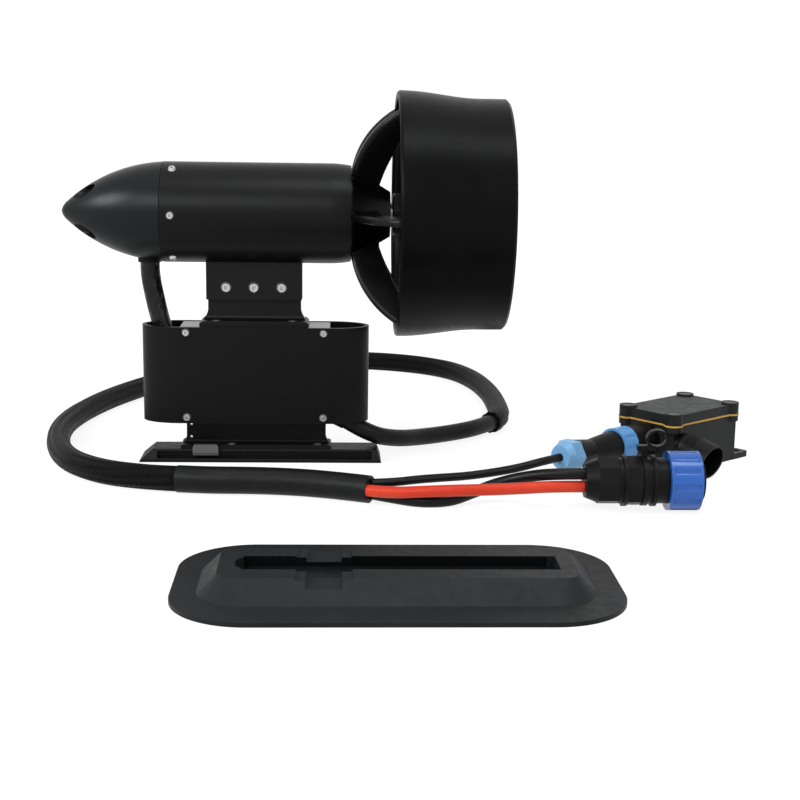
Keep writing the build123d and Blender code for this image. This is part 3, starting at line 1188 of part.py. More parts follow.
def make_box_socket():
    face_y = -(BOX_WIDTH - CORNER_NECK) / 2
    droop = radians(SOCKET_DROOP)
    start = Vector(SOCKET_X, face_y, SOCKET_Z)
    out = Vector(0, -cos(droop), -sin(droop))
    mouth = start + out * SOCKET_LENGTH
    socket = rod(tuple(start), tuple(start + Vector(0, -SOCKET_FLANGE, 0)), SOCKET_FLANGE_R)
    socket += rod(tuple(start - out * 4), tuple(start + out * SOCKET_STEP), SOCKET_FLANGE_R - 0.5)
    socket += rod(tuple(start + out * SOCKET_STEP), tuple(mouth), SOCKET_BARREL_R)
    length, width, height = SOCKET_LUG
    side = Plane(origin=start + out * (SOCKET_STEP + length), x_dir=(1, 0, 0), z_dir=-out)
    lug = side * Rot(0, 0, 35) * Pos(SOCKET_BARREL_R, 0, 0) * Box(2 * height, width, length)
    socket += lug
    socket -= rod(tuple(mouth - out * SOCKET_BORE_DEPTH), tuple(mouth + out), SOCKET_BORE_R)
    socket -= block(SOCKET_X - 30, SOCKET_X + 30, face_y, face_y + 40, 0, 80)
    keep("box_socket", box_plane * socket)
    world_mouth = box_plane.from_local_coords(mouth)
    world_out = box_plane.from_local_coords(out) - box_plane.from_local_coords(Vector(0, 0, 0))
    print(f"box socket mouth {tuple(round(v, 3) for v in world_mouth)}, "
          f"direction {tuple(round(v, 5) for v in world_out)}")


def make_pad():
    top_z = PAD_FLOOR + BASE_HEIGHT
    pad = extrude(RectangleRounded(PAD_LENGTH, PAD_WIDTH, PAD_CORNER), PAD_FLANGE)
    low = Pos(0, 0, PAD_FLANGE - 0.5) * RectangleRounded(PAD_BODY_LENGTH, PAD_BODY_WIDTH, PAD_BODY_CORNER)
    high = Pos(0, 0, top_z) * RectangleRounded(PAD_TOP_LENGTH, PAD_TOP_WIDTH, PAD_TOP_CORNER)
    pad += loft([low, high])
    centre = (BASE_FRONT_X + BASE_REAR_X) / 2
    x0 = BASE_FRONT_X - PAD_CLEARANCE - centre
    x1 = BASE_REAR_X + PAD_CLEARANCE - centre
    neck_half = BASE_TOP_HALF + PAD_CLEARANCE
    neck = Pos((x0 + x1) / 2, 0, PAD_FLOOR) * extrude(Rectangle(x1 - x0, 2 * neck_half), BASE_HEIGHT + 1)
    round_edges = neck.edges().filter_by(Axis.Z).sort_by(Axis.X)[:2]
    pad -= fillet(round_edges, neck_half * 0.85)
    pad -= dovetail(x0 + 4, x1 - 4, neck_half, BASE_BOTTOM_HALF + PAD_CLEARANCE, BASE_EDGE, PAD_FLOOR, BASE_HEIGHT)
    for side in (-1, 1):
        pad -= Pos(side * PAD_HOLE_PITCH / 2, 0, 0) * Cylinder(PAD_HOLE_R, 20)
    notch_x = LATCH_X - centre
    notch = LATCH_WIDTH / 2 + 2 * LATCH_CLEARANCE
    depth = PAD_NOTCH_HALF_DEPTH
    pad -= block(notch_x - notch, notch_x + notch, -depth, depth, PAD_FLOOR + LATCH_BAR_Z, top_z + 1)
    relief = PAD_RELIEF_WIDTH / 2
    pad -= block(notch_x - relief, notch_x + relief, -PAD_TOP_WIDTH, PAD_TOP_WIDTH, top_z - PAD_RELIEF_DEPTH, top_z + 1)
    keep("fin_box_pad", Pos(PAD_X, PAD_Y, 0) * pad)


def build():
    make_nose_cone()
    make_nose_grommet()
    make_housing()
    make_housing_screws()
    make_front_bulkhead()
    make_bearings()
    make_stator()
    make_rotor()
    make_rear_bell()
    make_cage_and_duct()
    make_propeller()
    make_shaft()
    make_saddle()
    make_pylon()
    make_pylon_fasteners()
    make_sleeve()
    make_case()
    make_controller_board()
    power_start = make_glands()
    make_loom(power_start)
    make_mount_bracket()
    make_fin_base()
    make_latch()
    make_battery_plug()
    make_strap()
    make_signal_plug()
    make_control_box()
    make_box_socket()
    make_pad()
    os.makedirs("parts", exist_ok=True)
    for name, shape in PARTS.items():
        export_step(shape, f"parts/{name}.step")
    print(len(PARTS), "nodes")


build()
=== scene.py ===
import math

import bpy
from mathutils import Matrix, Vector


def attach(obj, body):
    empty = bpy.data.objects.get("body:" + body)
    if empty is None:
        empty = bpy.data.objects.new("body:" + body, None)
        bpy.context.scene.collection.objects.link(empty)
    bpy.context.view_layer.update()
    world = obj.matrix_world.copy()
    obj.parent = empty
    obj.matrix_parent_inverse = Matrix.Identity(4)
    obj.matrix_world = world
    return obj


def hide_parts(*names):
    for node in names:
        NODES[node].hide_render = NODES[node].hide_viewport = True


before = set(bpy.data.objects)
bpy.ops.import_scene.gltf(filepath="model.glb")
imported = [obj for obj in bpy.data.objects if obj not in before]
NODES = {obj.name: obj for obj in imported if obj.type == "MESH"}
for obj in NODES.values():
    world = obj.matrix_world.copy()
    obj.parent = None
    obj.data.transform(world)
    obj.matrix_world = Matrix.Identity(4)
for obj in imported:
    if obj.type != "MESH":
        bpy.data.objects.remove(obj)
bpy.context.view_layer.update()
MOTOR_UNIT = "motor_unit"
MM = 0.001


# Camera: fitted to the photo, in the part's frame; angles in degrees, lens in millimetres
CAMERA_ANGLES = (2.583, 11.478, 0.852)
CAMERA_PLACE = (0.0564, -1.0338, 0.2533)
CAMERA_LENS = 65.96
SENSOR_WIDTH = 36.0


def make_camera():
    yaw, pitch, roll = (math.radians(a) for a in CAMERA_ANGLES)
    forward = Vector((math.sin(yaw) * math.cos(pitch), math.cos(yaw) * math.cos(pitch), -math.sin(pitch)))
    right = Vector((math.cos(yaw), -math.sin(yaw), 0))
    up = right.cross(forward)
    rolled_right = right * math.cos(roll) + up * math.sin(roll)
    rolled_up = -right * math.sin(roll) + up * math.cos(roll)
    data = bpy.data.cameras.new("camera")
    data.sensor_width = SENSOR_WIDTH
    data.lens = CAMERA_LENS
    cam = bpy.data.objects.new("camera", data)
    turn = Matrix((rolled_right, rolled_up, -forward)).transposed().to_4x4()
    cam.matrix_world = Matrix.Translation(Vector(CAMERA_PLACE)) @ turn
    bpy.context.scene.collection.objects.link(cam)
    bpy.context.scene.camera = cam


make_camera()
bpy.context.scene.view_settings.view_transform = "Standard"


class Nodes:
    """A new material around one principled shader, with short ways to add and link its nodes."""

    def __init__(self, name):
        self.material = bpy.data.materials.new(name)
        self.material.use_nodes = True
        self.tree = self.material.node_tree
        self.tree.nodes.clear()
        self.out = self.tree.nodes.new("ShaderNodeOutputMaterial")
        self.shader = self.tree.nodes.new("ShaderNodeBsdfPrincipled")
        self.link(self.shader.outputs[0], self.out.inputs["Surface"])

    def new(self, kind, **settings):
        node = self.tree.nodes.new(kind)
        for key, value in settings.items():
            setattr(node, key, value)
        return node

    def link(self, a, b):
        self.tree.links.new(a, b)

    def math(self, operation, a, b=None):
        node = self.new("ShaderNodeMath", operation=operation)
        for slot, value in enumerate((a, b)):
            if value is None:
                continue
            if isinstance(value, (int, float)):
                node.inputs[slot].default_value = value
            else:
                self.link(value, node.inputs[slot])
        return node.outputs[0]

    def noise(self, vector, scale, detail=3.0, rough=0.55):
        node = self.new("ShaderNodeTexNoise")
        node.inputs["Scale"].default_value = scale
        node.inputs["Detail"].default_value = detail
        node.inputs["Roughness"].default_value = rough
        self.link(vector, node.inputs["Vector"])
        return node.outputs["Fac"]

    def range(self, value, low, high, to_low, to_high):
        node = self.new("ShaderNodeMapRange")
        for name, number in (("From Min", low), ("From Max", high), ("To Min", to_low), ("To Max", to_high)):
            node.inputs[name].default_value = number
        self.link(value, node.inputs["Value"])
        return node.outputs[0]

    def mix(self, factor, a, b):
        node = self.new("ShaderNodeMix", data_type="RGBA")
        self.link(factor, node.inputs["Factor"])
        for name, value in (("A", a), ("B", b)):
            socket = [s for s in node.inputs if s.name == name and s.type == "RGBA"][0]
            if isinstance(value, tuple):
                socket.default_value = (*value, 1.0)
            else:
                self.link(value, socket)
        return [s for s in node.outputs if s.type == "RGBA"][0]

    def rounded(self, radius):
        """Surface direction with the edges softened, and a mask that is high along those edges."""
        bevel = self.new("ShaderNodeBevel", samples=6)
        bevel.inputs["Radius"].default_value = radius
        geometry = self.new("ShaderNodeNewGeometry")
        dot = self.new("ShaderNodeVectorMath", operation="DOT_PRODUCT")
        self.link(bevel.outputs[0], dot.inputs[0])
        self.link(geometry.outputs["Normal"], dot.inputs[1])
        return bevel.outputs[0], self.math("SUBTRACT", 1.0, dot.outputs["Value"])

    def recess(self, distance):
        """High where the surface is open, low in slots and corners."""
        node = self.new("ShaderNodeAmbientOcclusion", samples=6, only_local=True)
        node.inputs["Distance"].default_value = distance
        return node.outputs["AO"]

    def bump(self, height, strength, distance=0.0005, normal=None):
        node = self.new("ShaderNodeBump")
        if normal is not None:
            self.link(normal, node.inputs["Normal"])
        node.inputs["Strength"].default_value = strength
        node.inputs["Distance"].default_value = distance
        self.link(height, node.inputs["Height"])
        self.link(node.outputs[0], self.shader.inputs["Normal"])

    def position(self, stretch=(1, 1, 1)):
        coordinates = self.new("ShaderNodeTexCoord")
        mapping = self.new("ShaderNodeMapping")
        mapping.inputs["Scale"].default_value = stretch
        self.link(coordinates.outputs["Object"], mapping.inputs["Vector"])
        return mapping.outputs[0]


def shade(hex_colour):
    """Linear colour from an sRGB hex number."""
    parts = [((hex_colour >> k) & 255) / 255 for k in (16, 8, 0)]
    return tuple(p / 12.92 if p < 0.04045 else ((p + 0.055) / 1.055) ** 2.4 for p in parts)


def finish_material(name, colour, second, rough, grain, grain_bump, metal=0.0, ior=1.5, edge_wear_and_highlight=0.0,
                    cloud=9.0, stretch=(1, 1, 1), distance=0.0003, edge=0.4, spread=0.06, painted_recess_shade=0.0):
    """Colour that drifts between two tones, a fine grain, uneven roughness, lighter edges that are partly wear and
    partly a painted highlight, and painted shade darkening recesses.
    """
    m = Nodes(name)
    place = m.position(stretch)
    tone = m.range(m.noise(place, cloud, 2.0), 0.35, 0.65, 0.0, 1.0)
    base = m.mix(tone, colour, second)
    normal = None
    if edge:
        normal, rim = m.rounded(edge * MM)
        # Lighter edges: wear on most pieces; on the blue coupling ring they are mostly a painted highlight along the
        # ribs.
        if edge_wear_and_highlight:
            patchy = m.range(m.noise(place, 160, 3.0), 0.4, 0.7, 0.3, 1.0)
            worn_and_lit_edge = m.math("MULTIPLY", m.range(rim, 0.02, 0.25, 0.0, edge_wear_and_highlight), patchy)
            lighter = tuple(min(1.0, c * 2.2 + 0.03) for c in colour)
            base = m.mix(worn_and_lit_edge, base, lighter)
    # Painted shade: in recesses and corners the colour darkens towards a dark copy of itself, where shade falls.
    if painted_recess_shade:
        base = m.mix(m.range(m.recess(0.9 * MM), 0.25, 0.75, painted_recess_shade, 0.0), base, tuple(0.12 * c for c in colour))
    m.link(base, m.shader.inputs["Base Color"])
    m.shader.inputs["Metallic"].default_value = metal
    m.shader.inputs["IOR"].default_value = ior
    patches = m.noise(place, grain * 0.2, 3.0)
    m.link(m.range(patches, 0.3, 0.7, rough - spread, rough + spread), m.shader.inputs["Roughness"])
    m.bump(m.noise(place, grain, 4.0, 0.6), grain_bump, distance, normal)
    return m.material


MATERIALS = {
    "nose": finish_material("nose_anodised", shade(0x030506), shade(0x06090B), 0.34, 2600, 0.05,
                            ior=1.27, spread=0.02),
    "housing": finish_material("housing_anodised", shade(0x060606), shade(0x080808), 0.36, 2200, 0.06,
                               ior=1.22, spread=0.03),
    "duct": finish_material("duct_satin", shade(0x030303), shade(0x050505), 0.35, 1500, 0.05,
                            ior=1.15, edge_wear_and_highlight=0.12, spread=0.04),
    "struts": finish_material("strut_satin", shade(0x030303), shade(0x050505), 0.26, 500, 0.04,
                              ior=1.26, spread=0.03, edge=2.6),
    "propeller": finish_material("propeller_satin", shade(0x070707), shade(0x0A0A0A), 0.36, 900, 0.10, ior=1.2),
    "bracket": finish_material("bracket_anodised", shade(0x080808), shade(0x0B0B0B), 0.40, 2400, 0.12,
                               ior=1.25, edge_wear_and_highlight=0.25),
    "sleeve": finish_material("sleeve_satin", shade(0x050505), shade(0x070707), 0.40, 1700, 0.12, ior=1.22, edge_wear_and_highlight=0.15),
    "base": finish_material("base_plastic", shade(0x0A0A0A), shade(0x0E0E0E), 0.46, 1300, 0.20, ior=1.2, edge_wear_and_highlight=0.25),
    "latch": finish_material("latch_plastic", shade(0x4E4E4E), shade(0x585858), 0.46, 1300, 0.22, ior=1.35, edge_wear_and_highlight=0.3),
    # Stainless steel, with painted shade in the screw heads' recesses.
    "steel": finish_material("stainless", (0.40, 0.40, 0.38), (0.52, 0.51, 0.49), 0.30, 1800, 0.15,
                             metal=0.85, edge=0.25, painted_recess_shade=1.0),
    "dark_steel": finish_material("black_steel", (0.05, 0.05, 0.05), (0.07, 0.07, 0.07), 0.4, 1500, 0.2, metal=0.7),
    "aluminium": finish_material("milled_aluminium", (0.24, 0.24, 0.24), (0.32, 0.32, 0.32), 0.42, 700, 0.35,
                                 metal=1.0, stretch=(0.12, 1, 1)),
    "rubber": finish_material("black_rubber", shade(0x0A0A0A), shade(0x0F0F0F), 0.62, 1400, 0.25, ior=1.2),
    "plug": finish_material("plug_plastic", shade(0x070707), shade(0x0B0B0B), 0.40, 1100, 0.25, ior=1.2, edge_wear_and_highlight=0.3),
    "box": finish_material("box_plastic", shade(0x0F1112), shade(0x141617), 0.46, 1000, 0.35, ior=1.26, edge_wear_and_highlight=0.3),
    "pad": finish_material("pad_pvc", shade(0x121314), shade(0x17181A), 0.50, 800, 0.28, ior=1.25, edge_wear_and_highlight=0.2, cloud=14),
    "gasket": finish_material("gasket", shade(0xB4893A), shade(0xC69C4A), 0.5, 900, 0.15, ior=1.3),
    # The blue ring's strong lighter edges are mostly a painted highlight on its ribs, partly wear.
    "ring_blue": finish_material("ring_blue", shade(0x194B94), shade(0x2257A6), 0.16, 800, 0.12,
                                 ior=1.44, edge_wear_and_highlight=0.9, edge=0.6),
    "signal_blue": finish_material("signal_blue", shade(0x4C86BC), shade(0x5892C8), 0.28, 800, 0.16,
                                   ior=1.32, edge_wear_and_highlight=0.6),
    "nut_blue": finish_material("nut_blue", shade(0x6A9BC4), shade(0x76A7CE), 0.32, 800, 0.15, ior=1.32, edge_wear_and_highlight=0.3),
    "copper": finish_material("copper", (0.72, 0.33, 0.16), (0.78, 0.4, 0.2), 0.35, 1200, 0.3, metal=1.0),
    "laminations": finish_material("laminations", (0.24, 0.24, 0.25), (0.3, 0.3, 0.31), 0.45, 900, 0.5,
                                   metal=0.9, stretch=(6, 0.3, 0.3)),
    "board": finish_material("board", shade(0x1E5A33), shade(0x236839), 0.4, 1200, 0.2),
    "red_wire": finish_material("red_silicone", shade(0xC23520), shade(0xCA3D26), 0.34, 700, 0.12,
                                ior=1.25, cloud=30, edge=0),
    "black_wire": finish_material("black_silicone", shade(0x080808), shade(0x0D0D0D), 0.36, 700, 0.15,
                                  ior=1.25, cloud=30, edge=0),
    "heat_shrink": finish_material("heat_shrink", shade(0x0A0A0A), shade(0x0F0F0F), 0.42, 240, 0.55,
                                   ior=1.24, cloud=40, distance=0.0006, edge=0),
}


# Braided sleeve: the weave's strands, and the ridges of the wires inside. The ridges wander round the sleeve
# by a slow and a quick wave, each a share of a radian over a length in metres, in the mesh and the material alike.
BRAID_RADIUS = 8.5 * MM
STRANDS_ROUND = 22
STRANDS_ALONG = 15
WIRE_RIDGES = 9
RIDGE_DIP = 0.7 * MM
SLOW_WANDER, SLOW_LENGTH = 0.5, 0.11
QUICK_WANDER, QUICK_LENGTH, QUICK_START = 0.3, 0.047, 1.0


def braid_material():
    """Diamond braid drawn from the sleeve's own map: two families of strands over each other, with strand crests
    painted lighter, and painted shade in the weave's gaps and in the grooves between the wires inside.
    """
    m = Nodes("braid_sleeve")
    mapping = m.new("ShaderNodeUVMap")
    parts = m.new("ShaderNodeSeparateXYZ")
    m.link(mapping.outputs[0], parts.inputs[0])
    around = m.math("MULTIPLY", parts.outputs[0], STRANDS_ROUND * 2 * math.pi)
    along = m.math("MULTIPLY", parts.outputs[1], STRANDS_ALONG * 2 * math.pi)
    left = m.math("SINE", m.math("ADD", around, along))
    right = m.math("SINE", m.math("SUBTRACT", around, along))
    fine_left = m.math("SINE", m.math("MULTIPLY", m.math("SUBTRACT", around, along), 4))
    fine_right = m.math("SINE", m.math("MULTIPLY", m.math("ADD", around, along), 4))
    over = m.math("MAXIMUM", left, right)
    on_left = m.math("GREATER_THAN", left, right)
    thread = m.math("ADD", m.math("MULTIPLY", fine_left, on_left),
                    m.math("MULTIPLY", fine_right, m.math("SUBTRACT", 1.0, on_left)))
    weave = m.math("ADD", over, m.math("MULTIPLY", thread, 0.15))
    length = m.math("MULTIPLY", parts.outputs[1], 2 * math.pi * BRAID_RADIUS)
    slow = m.math("MULTIPLY", m.math("SINE", m.math("DIVIDE", length, SLOW_LENGTH)), SLOW_WANDER)
    quick_turn = m.math("ADD", m.math("DIVIDE", length, QUICK_LENGTH), QUICK_START)
    quick = m.math("MULTIPLY", m.math("SINE", quick_turn), QUICK_WANDER)
    turn = m.math("ADD", m.math("MULTIPLY", parts.outputs[0], 2 * math.pi), m.math("ADD", slow, quick))
    wires = m.math("COSINE", m.math("MULTIPLY", turn, WIRE_RIDGES))
    # Painted highlight and shade: strands are lighter where they lie on top and darker in the gaps of the weave.
    base = m.mix(m.range(over, -0.2, 1.0, 0.0, 1.0), shade(0x030303), shade(0x161412))
    # Painted shade: the grooves between the wires inside go nearly black.
    base = m.mix(m.range(wires, -0.9, 0.3, 0.85, 0.0), base, (0.001, 0.001, 0.001))
    m.link(base, m.shader.inputs["Base Color"])
    m.link(m.range(over, -0.4, 1.0, 0.75, 0.34), m.shader.inputs["Roughness"])
    m.shader.inputs["IOR"].default_value = 1.16
    wide = m.new("ShaderNodeBump")
    wide.inputs["Strength"].default_value = 0.8
    wide.inputs["Distance"].default_value = 0.001
    m.link(wires, wide.inputs["Height"])
    m.bump(weave, 0.7, 0.0005, wide.outputs[0])
    return m.material


MATERIALS["braid"] = braid_material()


def wrinkled_material():
    """Glossy heat-shrink with soft folds across it and a fine grain; the colour is painted darker in the folds'
    hollows and lighter on their crests.
    """
    m = Nodes("phase_shrink")
    place = m.position((1, 1, 0.55))
    folds = m.noise(place, 75, 2.5, 0.5)
    # Painted shade and highlight: the tone follows the folds' height.
    base = m.mix(m.range(folds, 0.35, 0.65, 0.0, 1.0), shade(0x080808), shade(0x101010))
    m.link(base, m.shader.inputs["Base Color"])
    m.link(m.range(m.noise(place, 150), 0.3, 0.7, 0.24, 0.38), m.shader.inputs["Roughness"])
    m.shader.inputs["IOR"].default_value = 1.3
    wide = m.new("ShaderNodeBump")
    wide.inputs["Strength"].default_value = 0.9
    wide.inputs["Distance"].default_value = 0.006
    m.link(folds, wide.inputs["Height"])
    m.bump(m.noise(place, 900), 0.15, 0.0003, wide.outputs[0])
    return m.material


MATERIALS["phase_shrink"] = wrinkled_material()


# The box's open socket: the middle of its mouth, its direction, and where its grip ridges lie behind the mouth
SOCKET_MOUTH = Vector((316.753, -60.845, 12.753)) * MM
SOCKET_AXIS = (0.6157, -0.74426, -0.25882)
RIDGE_PITCH = 3.0 * MM
RIDGE_START, RIDGE_END = -21.5 * MM, -12.5 * MM


def socket_material():
    """Moulded plastic with grip ridges round the root of the box's open socket, and painted shade in the grooves
    between the ridges.
    """
    m = Nodes("socket_plastic")
    place = m.position()
    from_mouth = m.new("ShaderNodeVectorMath", operation="SUBTRACT")
    m.link(place, from_mouth.inputs[0])
    from_mouth.inputs[1].default_value = SOCKET_MOUTH
    along = m.new("ShaderNodeVectorMath", operation="DOT_PRODUCT")
    m.link(from_mouth.outputs[0], along.inputs[0])
    along.inputs[1].default_value = SOCKET_AXIS
    depth = along.outputs["Value"]
    wave = m.math("COSINE", m.math("MULTIPLY", depth, 2 * math.pi / RIDGE_PITCH))
    inside = m.math("MULTIPLY", m.math("GREATER_THAN", depth, RIDGE_START),
                    m.math("LESS_THAN", depth, RIDGE_END))
    ridges = m.math("MULTIPLY", m.range(wave, -0.4, 0.6, -1.0, 0.0), inside)
    tone = m.range(m.noise(place, 9, 2.0), 0.35, 0.65, 0.0, 1.0)
    base = m.mix(tone, shade(0x080808), shade(0x0C0C0C))
    # Painted shade: the grooves between the ridges are darkened.
    base = m.mix(m.math("MULTIPLY", ridges, -0.8), base, (0.0008, 0.0008, 0.0008))
    m.link(base, m.shader.inputs["Base Color"])
    m.shader.inputs["IOR"].default_value = 1.22
    m.link(m.range(m.noise(place, 220), 0.3, 0.7, 0.34, 0.46), m.shader.inputs["Roughness"])
    wide = m.new("ShaderNodeBump")
    wide.inputs["Strength"].default_value = 1.0
    wide.inputs["Distance"].default_value = 0.8 * MM
    m.link(ridges, wide.inputs["Height"])
    m.bump(m.noise(place, 1100), 0.25, 0.0003, wide.outputs[0])
    return m.material


MATERIALS["socket"] = socket_material()

# The CAD nodes that take each material; the cords get theirs where they are made
USED = {
    "nose": ["nose_cone"],
    "housing": ["motor_housing"],
    "duct": ["duct_ring"],
    "struts": ["strut_cage"],
    "propeller": ["propeller", "prop_nut"],
    "bracket": ["motor_saddle", "pylon_bracket"],
    "sleeve": ["controller_sleeve"],
    "base": ["fin_base", "mount_bracket"],
    "latch": ["fin_latch"],
    "steel": ["housing_screws", "pylon_bolts", "pylon_nuts", "pylon_foot_screws", "sleeve_screws", "bracket_screws",
              "front_bearing", "rear_bearing", "motor_shaft", "drive_pin"],
    "dark_steel": ["control_box_screws"],
    "aluminium": ["controller_case", "controller_base_plate", "front_bulkhead", "rear_bell", "power_capacitors"],
    "rubber": ["nose_grommet", "shaft_seal", "controller_seal", "phase_gland", "power_gland"],
    "phase_shrink": ["phase_cable"],
    "plug": ["battery_plug_body", "battery_plug_insert", "battery_gland_nut", "retaining_strap", "signal_plug_body",
             "signal_socket"],
    "socket": ["box_socket"],
    "box": ["control_box", "control_box_lid"],
    "gasket": ["control_box_gasket"],
    "ring_blue": ["battery_coupling_ring"],
    "signal_blue": ["signal_coupling_ring"],
    "nut_blue": ["signal_gland_nut"],
    "copper": ["stator_windings"],
    "laminations": ["stator", "rotor"],
    "board": ["controller_board", "control_board"],
    "pad": ["fin_box_pad"],
}

for material, names in USED.items():
    for name in names:
        slots = NODES[name].data.materials
        slots.clear()
        slots.append(MATERIALS[material])


# Cords: radii and the routes' points, in millimetres. The points stay near the CAD tubes' and follow the photo.
POWER_RADIUS = 6.25
SHRINK_RADIUS = 9.0
LEAD_RADIUS = 3.8
SIGNAL_RADIUS = 2.8
POWER = [(64.78, 0.0, 28.08), (81.83, 0.0, 17.63), (101, 13, 11.6), (121, 34, 8.2), (144, 51, 7.4),
         (166, 65, 8.55), (178, 84, 8.55)]
BRAID = [(178, 84, 8.55), (187, 98.2, 8.55), (190, 145, 8.55), (189.5, 208, 8.55), (180, 273, 8.55),
         (156, 328, 8.55), (100, 360, 8.55), (36, 366, 8.55), (-26, 346, 8.55), (-74, 300, 8.55), (-108, 228, 8.55),
         (-135, 160, 8.55), (-149.5, 92, 8.55), (-148.5, 26, 8.55), (-131.5, -37, 8.55), (-105, -72.5, 8.6),
         (-74, -89.5, 8.9), (-46.4, -95.9, 9.1)]
SHRINK = [(-46.4, -95.9, 9.1), (-28.5, -100, 9.3), (2, -99.5, 9.1), (32, -103.5, 9.1), (57, -111.5, 9.1),
          (79.1, -121.4, 9.1)]
RED = [(77.2, -125.6, 9.5), (92.7, -132.5, 9.8), (112, -136.8, 11.8), (128, -138.5, 13.0), (144, -137.8, 13.2),
       (160, -135.9, 13.2), (177, -135.2, 13.8), (196.0, -135.8, 15.2), (215.0, -135.8, 15.2)]
BLACK = [(80.3, -118.75, 5.5), (95.8, -125.7, 4.4), (112, -133.3, 4), (131, -130.4, 4), (146.5, -119.6, 7),
         (163, -116.5, 12.6), (180, -124.3, 18.8), (196.0, -135.8, 23.6), (215.0, -135.8, 23.6)]
SIGNAL = [(80.9, -117.3, 12.3), (94.6, -119.0, 13.2), (108.5, -114.5, 13.8), (124, -108.8, 13.6),
          (142, -103.5, 13.4), (160, -99.3, 14.8), (177, -101, 18.4), (193.85, -96.46, 22.0), (206.95, -85.63, 22.0)]


def spline_object(name, route, radius):
    """One smooth NURBS line with the route's points as its control points."""
    data = bpy.data.curves.new(name, "CURVE")
    data.dimensions = "3D"
    data.bevel_depth = radius
    data.bevel_resolution = 8
    data.use_fill_caps = True
    data.resolution_u = 12
    spline = data.splines.new("NURBS")
    spline.points.add(len(route) - 1)
    for point, place in zip(spline.points, route):
        point.co = (*(v * MM for v in place), 1.0)
    spline.order_u = 3
    spline.use_endpoint_u = True
    obj = bpy.data.objects.new(name, data)
    bpy.context.scene.collection.objects.link(obj)
    return obj


def line_points(route):
    """The centreline's points, read from the route's NURBS spline."""
    guide = spline_object("guide", route, 0.0)
    bpy.context.view_layer.update()
    mesh = bpy.data.meshes.new_from_object(guide.evaluated_get(bpy.context.evaluated_depsgraph_get()))
    points = [v.co.copy() for v in mesh.vertices]
    bpy.data.objects.remove(guide)
    bpy.data.meshes.remove(mesh)
    return points


def tube_mesh(name, points, radius_at, sides=90):
    """Closed tube along points, with a map: u round the tube, v along it in turns of its own girth."""
    lengths = [0.0]
    for a, b in zip(points, points[1:]):
        lengths.append(lengths[-1] + (b - a).length)
    tangent = (points[1] - points[0]).normalized()
    side = tangent.cross(Vector((0, 0, 1))).normalized()
    vertices, faces, maps = [], [], []
    for i, point in enumerate(points):
        ahead = points[min(i + 1, len(points) - 1)]
        behind = points[max(i - 1, 0)]
        tangent = (ahead - behind).normalized()
        side = (side - tangent * side.dot(tangent)).normalized()
        up = side.cross(tangent).normalized()
        for k in range(sides):
            a = 2 * math.pi * k / sides
            r = radius_at(lengths[i], a)
            vertices.append(point + side * (r * math.cos(a)) + up * (r * math.sin(a)))
    girth = 2 * math.pi * radius_at(0.0, 0.0)
    for i in range(len(points) - 1):
        for k in range(sides):
            n = (k + 1) % sides
            faces.append((i * sides + k, i * sides + n, (i + 1) * sides + n, (i + 1) * sides + k))
            v0, v1 = lengths[i] / girth, lengths[i + 1] / girth
            maps += [(k / sides, v0), ((k + 1) / sides, v0), ((k + 1) / sides, v1), (k / sides, v1)]
    faces.append(tuple(range(sides - 1, -1, -1)))
    faces.append(tuple((len(points) - 1) * sides + k for k in range(sides)))
    maps += [(0.5, 0.0)] * (2 * sides)
    mesh = bpy.data.meshes.new(name)
    mesh.from_pydata([tuple(v) for v in vertices], [], faces)
    layer = mesh.uv_layers.new(name="UVMap")
    for loop, uv in zip(layer.data, maps):
        loop.uv = uv
    for polygon in mesh.polygons:
        polygon.use_smooth = len(polygon.vertices) == 4
    obj = bpy.data.objects.new(name, mesh)
    bpy.context.scene.collection.objects.link(obj)
    return obj


def declare_cord(obj, node, material, route):
    """Give the piece its material and body, and hide the CAD node it stands for."""
    obj.data.materials.append(MATERIALS[material])
    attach(obj, MOTOR_UNIT)
    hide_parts(node)
    points = line_points(route)


def cable(name, node, material, route, radius):
    """A round cord as one live spline."""
    obj = spline_object(name, route, radius * MM)
    declare_cord(obj, node, material, route)


cable("power_cable_jacket", "power_cable", "heat_shrink", POWER, POWER_RADIUS)


def braid_ridges(along, angle):
    """The wires inside stand out as soft ridges that wander round the sleeve."""
    slow = SLOW_WANDER * math.sin(along / SLOW_LENGTH)
    quick = QUICK_WANDER * math.sin(along / QUICK_LENGTH + QUICK_START)
    wander = slow + quick
    return BRAID_RADIUS - RIDGE_DIP * (0.5 - 0.5 * math.cos(WIRE_RIDGES * (angle + wander))) ** 1.5


braid = tube_mesh("braid_sleeve", line_points(BRAID), braid_ridges)
declare_cord(braid, "braided_loom", "braid", BRAID)
cable("loom_heat_shrink", "breakout_heat_shrink", "heat_shrink", SHRINK, SHRINK_RADIUS)
cable("red_battery_lead", "red_lead", "red_wire", RED, LEAD_RADIUS)
cable("black_battery_lead", "black_lead", "black_wire", BLACK, LEAD_RADIUS)
cable("signal_wire", "signal_lead", "black_wire", SIGNAL, SIGNAL_RADIUS)


# Stage: the floor's half width in metres, its grey, the share of it that glows white to the camera, and the
# glow's strength from the near to the far distance from the origin
FLOOR_HALF = 4.0
FLOOR_GREY = 0.86
FLOOR_ROUGHNESS = 0.9
GLOW_SHARE = 0.78
GLOW_NEAR, GLOW_FAR = 0.45, 1.1
GLOW_AT_NEAR, GLOW_AT_FAR = 1.12, 1.35
# World: the light from in front, from above and from the low backdrop behind
FRONT_LIGHT = 0.2
ABOVE_LIGHT = 0.42
BACK_LIGHT = 0.4


